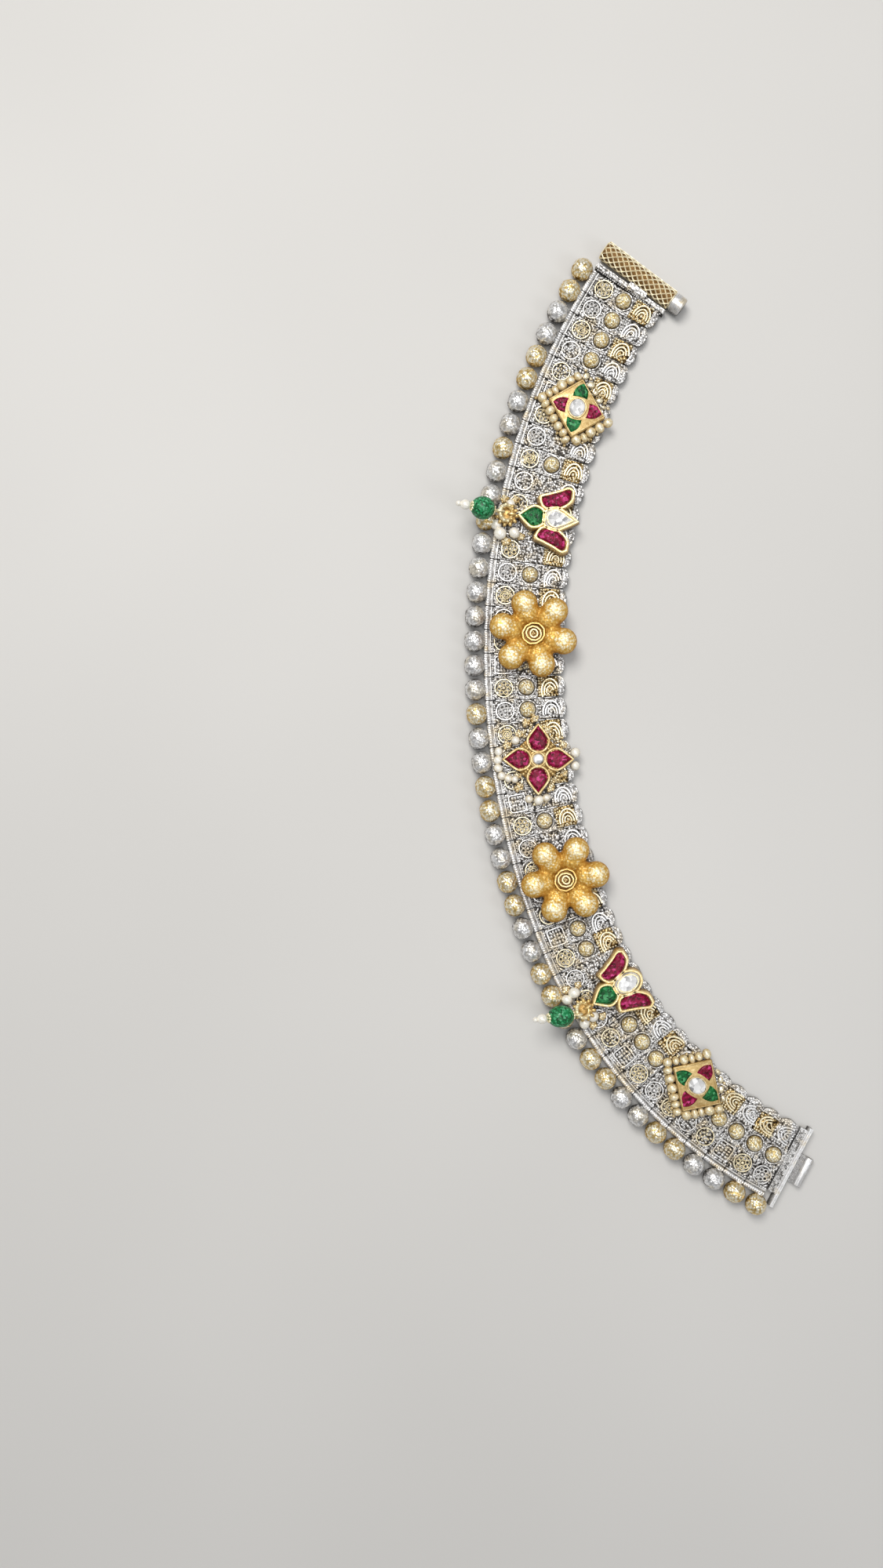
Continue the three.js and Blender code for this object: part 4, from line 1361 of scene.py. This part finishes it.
# loose-looking pearls and clusters of gold grains soldered on the band about a medallion
def makeTrimmings(name, pearls, clusters):
    place = medallionFrame(name) @ inMetres
    balls = []
    for x, y, roundness in pearls:
        size = roundness * 1.3
        shape = (size * chance.uniform(0.9, 1.15), size * chance.uniform(0.9, 1.1), size)
        balls.append(pearlAt("pearl", (x, y, 2.45 + size), shape, chance.uniform(0, 180)))
    setDown(joined(name + "_pearls", balls), place, pearlFinish, "pearl")
    spots = []
    for x, y, reach in clusters:
        for number in range(9):
            angle = 2.4 * number
            away = reach * math.sqrt(number / 9)
            size = chance.uniform(0.4, 0.62)
            spots.append((
                x + away * math.cos(angle), y + away * math.sin(angle), 3.15 - 0.12 * number / 3,
                (size, size * chance.uniform(0.7, 1.1), size), chance.uniform(0, 180),
            ))
    setDown(grains(name + "_clusters", spots), place, capGold, "gold")


trimmings = {
    "lotus_top": {
        "pearls": [(-8.0, -5.0, 1.2), (-4.4, -4.4, 1.15), (-9.3, -2.8, 1.1), (-6.2, 3.0, 0.9)],
        "clusters": [(-6.3, -6.6, 1.0), (-5.0, 4.4, 1.0), (-8.0, 4.2, 1.0), (-2.6, -4.9, 0.8)],
    },
    "lotus_bottom": {
        "pearls": [(-6.8, 4.5, 1.15), (-9.3, 3.9, 1.1), (-5.7, -3.2, 1.15), (-8.5, -3.5, 1.15)],
        "clusters": [(-5.0, 5.4, 0.9), (-7.0, -5.4, 1.0), (-3.6, -4.7, 0.8), (-8.2, 6.0, 0.9)],
    },
    "star": {
        "pearls": [
            (-5.8, 4.9, 0.9), (-10.2, 2.0, 0.9), (-10.4, -0.2, 0.9), (-10.3, -2.3, 0.9), (-9.4, -4.3, 0.9),
            (-7.7, -5.0, 0.85), (-6.0, -5.2, 0.85), (0.2, -10.6, 0.95), (-2.3, -10.3, 0.8),
            (9.7, 1.7, 0.95), (9.7, -1.7, 0.95), (2.2, -10.0, 0.8),
        ],
        "clusters": [
            (-8.0, 3.6, 1.0), (-4.7, 6.6, 1.1), (5.2, 5.2, 1.3), (2.8, 7.6, 1.0),
            (-4.9, -7.2, 1.1), (4.6, -4.9, 1.2), (3.3, -7.4, 1.0), (-0.9, 10.6, 1.0),
            (-3.0, 9.6, 0.9), (6.6, 3.6, 0.9), (6.6, -3.6, 0.9), (-5.2, -4.2, 1.0),
        ],
    },
}
for lotusName, dropShape in (("lotus_top", (0, 6.3, 2.95)), ("lotus_bottom", (-27, 7.1, 2.8))):
    makeLotus(lotusName)
    makeDrop(lotusName, *dropShape)
for trimmedName, trim in trimmings.items():
    makeTrimmings(trimmedName, trim["pearls"], trim["clusters"])
print("lotuses made")


# The two flowers.
flower = {
    "petals": 6, "tipAt": 8.1, "tip": (3.5, 3.5, 2.9), "tipZ": 6.1,
    "rootAt": 6.0, "root": (3.7, 3.5, 2.6), "rootZ": 5.5,
    "bowl": (7.0, 2.1), "bowlZ": 4.3, "cell": 0.3, "soften": 10,
    "boss": 2.9, "bossTop": 7.3, "rings": (2.7, 1.82, 0.96), "ringWire": 0.31,
}


# round petal tips run down through their roots into one bowl, and the boss of wire rings stands in it
def makeFlower(name):
    place = medallionFrame(name) @ inMetres
    wide, high = flower["bowl"]
    lumps = [ballAt((0, 0, flower["bowlZ"]), (wide, wide, high), 24, 14)]
    tip = ballAt((flower["tipAt"], 0, flower["tipZ"]), flower["tip"], 24, 14)
    root = ballAt((flower["rootAt"], 0, flower["rootZ"]), flower["root"], 24, 14)
    turns = [turnZ(360 * number / flower["petals"]) for number in range(flower["petals"])]
    lumps += copiesOf(tip, turns) + copiesOf(root, turns)
    dropModels(tip, root)
    lumps.append(roundBar("stem", (0, 0, 2.3), (0, 0, 4.5), 3.0, 24))
    petals = joined(name + "_petals", lumps)
    withModifier(petals, "REMESH", mode="VOXEL", voxel_size=flower["cell"], use_smooth_shade=True)
    withModifier(petals, "SMOOTH", factor=0.5, iterations=flower["soften"])
    setDown(petals, place, flowerGold, "satin_gold", name)
    bossBase = flower["bossTop"] - 0.75
    parts = [roundBar("boss", (0, 0, 5.0), (0, 0, bossBase), flower["boss"] - 0.1, 32, 0.2)]
    for number, radius in enumerate(flower["rings"]):
        ring = ringPoints(0.05 * number, 0, flower["bossTop"] - 0.25 + 0.1 * number, radius, 30)
        for spot, (x, y, z) in enumerate(ring):
            uneven = 1 + 0.05 * math.sin(0.42 * spot + 2 * number) + 0.025 * math.cos(2 * spot)
            ring[spot] = (x * uneven, y * uneven, z)
        parts.append(wire("bossRing", ring, flower["ringWire"], True, 1))
    parts.append(grains("bossGrains", [
        (0.3 * math.cos(2.1 * k), 0.3 * math.sin(2.1 * k), flower["bossTop"], 0.26) for k in range(3)
    ]))
    setDown(smooth(joined(name + "_boss", parts), 60), place, bossGold, "satin_gold", name)


makeFlower("flower_top")
makeFlower("flower_bottom")
print("flowers made")


# The star in the middle.
star = {
    "bottom": 3.5, "top": 4.9, "back": 4.3, "girdle": 4.95, "table": 5.55,
    "wall": 0.7, "rimAt": 0.45, "rimWire": 0.34,
    "length": 6.3, "width": 4.6, "centre": 5.45, "middle": 2.8,
}


def makeStar():
    place = medallionFrame("star") @ inMetres
    parts = []
    for number in range(4):
        angle = 90 * number

        def outlineAt(margin):
            points = dropPoints(star["length"], star["width"], margin)
            return smoothed(placedPoints([(star["centre"] + x, y) for x, y in points], 0, 0, angle))

        floor = star["back"] - 0.1
        parts.append(cellOver("cell", outlineAt(star["wall"]), star["bottom"], star["top"], 0.35, floor))
        parts.append(rimOver("rim", outlineAt(star["rimAt"]), star["top"] + 0.05, star["rimWire"]))
        makeStone(
            "star_ruby_cut_" + str(number + 1), outlineAt(0.0), star["back"], star["girdle"], star["table"],
            place, rubyFinish, "ruby", "star_ruby_" + str(number + 1),
        )
    parts.append(roundBar("ground", (0, 0, 2.3), (0, 0, 4.3), 5.8, 28, 0.3))
    ground = []
    for corner in (45, 135, 225, 315):
        for number in range(9):
            angle = math.radians(corner + 17 * ((number % 3) - 1))
            reach = 3.9 + 0.72 * (number // 3) + chance.uniform(-0.12, 0.12)
            size = chance.uniform(0.44, 0.58)
            ground.append((reach * math.cos(angle), reach * math.sin(angle), 4.55, size))
    parts.append(grains("groundGrains", ground))
    parts.append(roundBar("hub", (0, 0, 4.0), (0, 0, star["top"]), 2.5, 24, 0.2))
    parts.append(wire("hubRing", ringPoints(0, 0, star["top"] + 0.1, 1.75, 20), 0.26, True, 1))
    setDown(smooth(joined("star_cells", parts), 40), place, satinGold, "gold", "star_setting")
    makeStone(
        "star_white_cut", ovalPoints(star["middle"], star["middle"], 0.0, 14), star["back"],
        star["girdle"] + 0.1, star["table"] + 0.1, place, whiteFinish, "white_stone", "star_white_stone",
    )


makeStar()
print("star made")


# The clasp.
clasp = {
    "turn": -3.0, "forward": 0.5, "barrelTurn": -1.6, "barrelY": 4.7, "barrelZ": 2.75,
    "ends": (-0.6, 21.0), "radius": 2.6, "core": 2.3, "cells": 11, "around": 8, "wire": 0.56, "slot": 1.3,
    "knob": 2.4, "knobLength": 3.2, "pin": 0.65,
}


def claspFrame():
    return frameAt(0) @ shift(0, clasp["forward"], 0) @ turnZ(clasp["turn"])


# the frame of the barrel, from its own millimetres
def barrelFrame():
    lift = shift(0, clasp["barrelY"], clasp["barrelZ"])
    return claspFrame() @ lift @ turnZ(clasp["barrelTurn"]) @ inMetres


def makeBarrel():
    start, end = clasp["ends"]
    length = end - start
    startFresh()
    bpy.ops.mesh.primitive_grid_add(
        x_subdivisions=clasp["cells"], y_subdivisions=clasp["around"], size=1.0, location=(0, 0, 0),
    )
    lattice = bpy.context.object
    editAll(lattice)
    bpy.ops.mesh.poke()
    doneEditing()
    bpy.context.tool_settings.mesh_select_mode = (False, True, False)
    mesh = lattice.data
    for face in mesh.polygons:
        face.select = False
    for vertex in mesh.vertices:
        vertex.select = False
    for edge in mesh.edges:
        run = mesh.vertices[edge.vertices[0]].co - mesh.vertices[edge.vertices[1]].co
        edge.select = abs(run.x) < 1e-5 or abs(run.y) < 1e-5
    bpy.ops.object.mode_set(mode="EDIT")
    bpy.ops.mesh.dissolve_edges(use_verts=False)
    doneEditing()
    slotAngle = 2 * math.asin(clasp["slot"] / 2 / clasp["radius"])
    radius = clasp["radius"] - clasp["wire"] / 2
    for vertex in mesh.vertices:
        x, y = vertex.co.xy
        angle = slotAngle / 2 + 0.06 + (y + 0.5) * (2 * math.pi - slotAngle - 0.12)
        vertex.co = (start + (x + 0.5) * length, radius * math.cos(angle), radius * math.sin(angle))
    withModifier(lattice, "WIREFRAME", thickness=clasp["wire"], use_even_offset=False, use_boundary=True)
    lattice.name = "barrelLattice"
    setDown(smooth(lattice, 60), barrelFrame(), barrelGold, "gold", "clasp_barrel")
    startFresh()
    bpy.ops.mesh.primitive_cylinder_add(
        vertices=40, radius=clasp["core"], depth=length, end_fill_type="NOTHING",
        location=((start + end) / 2, 0, 0), rotation=(0, math.pi / 2, 0),
    )
    bpy.ops.object.transform_apply(location=True, rotation=True, scale=True)
    core = bpy.context.object
    pickFaces(core, lambda centre, normal: centre.y > 0 and abs(centre.z) < clasp["slot"] / 2)
    bpy.ops.mesh.delete(type="FACE")
    doneEditing()
    withModifier(core, "SOLIDIFY", thickness=0.5, offset=-1.0)
    core.name = "barrelTube"
    setDown(smooth(core, 40), barrelFrame(), recessShadeGold, "gold", "clasp_barrel")


def makePin():
    knobStart = clasp["ends"][1] + 0.3
    knobEnd = knobStart + clasp["knobLength"]
    parts = [
        roundBar("pin", (1.5, 0, 0), (knobStart + 1.0, 0, 0), clasp["pin"], 14),
        roundBar("knob", (knobStart, 0, 0), (knobEnd, 0, 0), clasp["knob"], 32, 0.25),
    ]
    for number in range(5):
        x = knobStart + 0.5 + number * (clasp["knobLength"] - 1.0) / 4
        ring = [(x, y, z) for y, z, turn in roundAbout(30, clasp["knob"] - 0.06)]
        parts.append(wire("turnedRing", ring, 0.2, True, 1))
    whole = smooth(joined("screwKnob", parts), 50)
    whole.data.transform(barrelFrame())
    finished(whole, knobSilver, "clasp_pin", "silver", "clasp_pin")


def makeClaspPlateDetail():
    parts = []
    for y in (0.28, 0.92):
        parts.append(wire("ridge", [(-0.1 + 1.06 * step, y, 2.6) for step in range(21)], 0.24, False, 1))
    spots = [(0.2 + 0.58 * number, -0.28, 2.25, chance.uniform(0.24, 0.34)) for number in range(36)]
    parts.append(grains("plateGrains", spots))
    setDown(smooth(joined("claspPlateRidges", parts), 50), claspFrame() @ inMetres, plateSilver, "silver")


makeBarrel()
makePin()
makeClaspPlateDetail()
print("clasp made")


# The tongue end.
tongue = {"x0": 6.4, "x1": 14.2, "reach": 7.6, "roll": 1.25}


def makeTongueDetail():
    place = frameAt(route["rowsStart"] + route["rows"] * route["pitch"]) @ inMetres
    parts = []
    spots = []
    for rowNumber in range(3):
        for number in range(29):
            x = 2.2 + 0.62 * number + 0.3 * (rowNumber % 2)
            spots.append((x, -0.65 - 0.58 * rowNumber, 2.4, chance.uniform(0.26, 0.34)))
    setDown(grains("endGrains", spots), place, plateSilver, "silver")
    for y in (-2.55, -3.15):
        parts.append(wire("barRidge", [(-1.5 + 1.13 * step, y, 2.6) for step in range(21)], 0.24, False, 1))
    for number in range(6):
        y = -3.7 - 0.33 * number
        line = [(tongue["x0"] + 0.15, y, 1.74), (tongue["x1"] - 0.15, y, 1.74)]
        parts.append(wire("rib", line, 0.15, False, 1))
    roll = tongue["roll"]
    y = roll - tongue["reach"]
    parts.append(roundBar("roll", (tongue["x0"], y, roll), (tongue["x1"], y, roll), roll - 0.01, 24, 0.1))
    setDown(smooth(joined("tongueRibs", parts), 50), place, ribSilver, "silver")


makeTongueDetail()
for nodeName, finish in (("clasp_end_plate", plateSilver), ("tongue_end_plate", ribSilver)):
    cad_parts[nodeName].data.materials.clear()
    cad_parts[nodeName].data.materials.append(finish)
print("tongue end made")


# Floor, light and camera.
def makeFloor():
    startFresh()
    bpy.ops.mesh.primitive_plane_add(size=3.0, location=(0, 0, -0.0002))
    floor = bpy.context.object
    floor.name = "floor"
    finish, tree, shader, place = newFinish("paleFloor")
    tint = noiseOf(tree, place, 6.0, 2.0, 0.5)
    tone = rampOf(tree, tint, [(0.3, (0.60, 0.59, 0.57)), (0.7, (0.64, 0.63, 0.61))])
    tree.links.new(tone, shader.inputs["Base Color"])
    shader.inputs["Roughness"].default_value = 0.8
    floor.data.materials.append(finish)


def makeLight(name, place, aim, size, power, tint):
    startFresh()
    bpy.ops.object.light_add(type="AREA", location=place)
    lamp = bpy.context.object
    lamp.name = name
    lamp.data.shape = "DISK"
    lamp.data.size = size
    lamp.data.energy = power
    lamp.data.color = tint
    direction = Vector(aim) - Vector(place)
    lamp.rotation_euler = direction.to_track_quat("-Z", "Y").to_euler()


def makeCamera():
    startFresh()
    bpy.ops.object.camera_add(location=(-0.05038, -0.01441, 0.333), rotation=(0, 0, 0))
    camera = bpy.context.object
    camera.data.lens = 29.1
    camera.data.sensor_width = 36.0
    camera.data.clip_start = 0.01
    bpy.context.scene.camera = camera


makeFloor()
makeLight("softKey", (-0.16, 0.30, 0.62), (-0.01, 0, 0), 0.34, 3.3, (1.0, 0.98, 0.95))
makeLight("softFill", (0.45, -0.25, 0.5), (0, 0, 0), 0.3, 0.6, (0.95, 0.97, 1.0))
makeLight("softTop", (-0.02, -0.05, 0.9), (0, 0, 0), 0.5, 2.2, (1.0, 1.0, 1.0))
world = bpy.data.worlds.new("studio")
world.use_nodes = True
sky = world.node_tree.nodes["Background"].inputs
sky["Color"].default_value = (0.9, 0.91, 0.93, 1)
sky["Strength"].default_value = 0.27
bpy.context.scene.world = world
bpy.context.scene.view_settings.view_transform = "Standard"
makeCamera()
dropModels(grainModel)
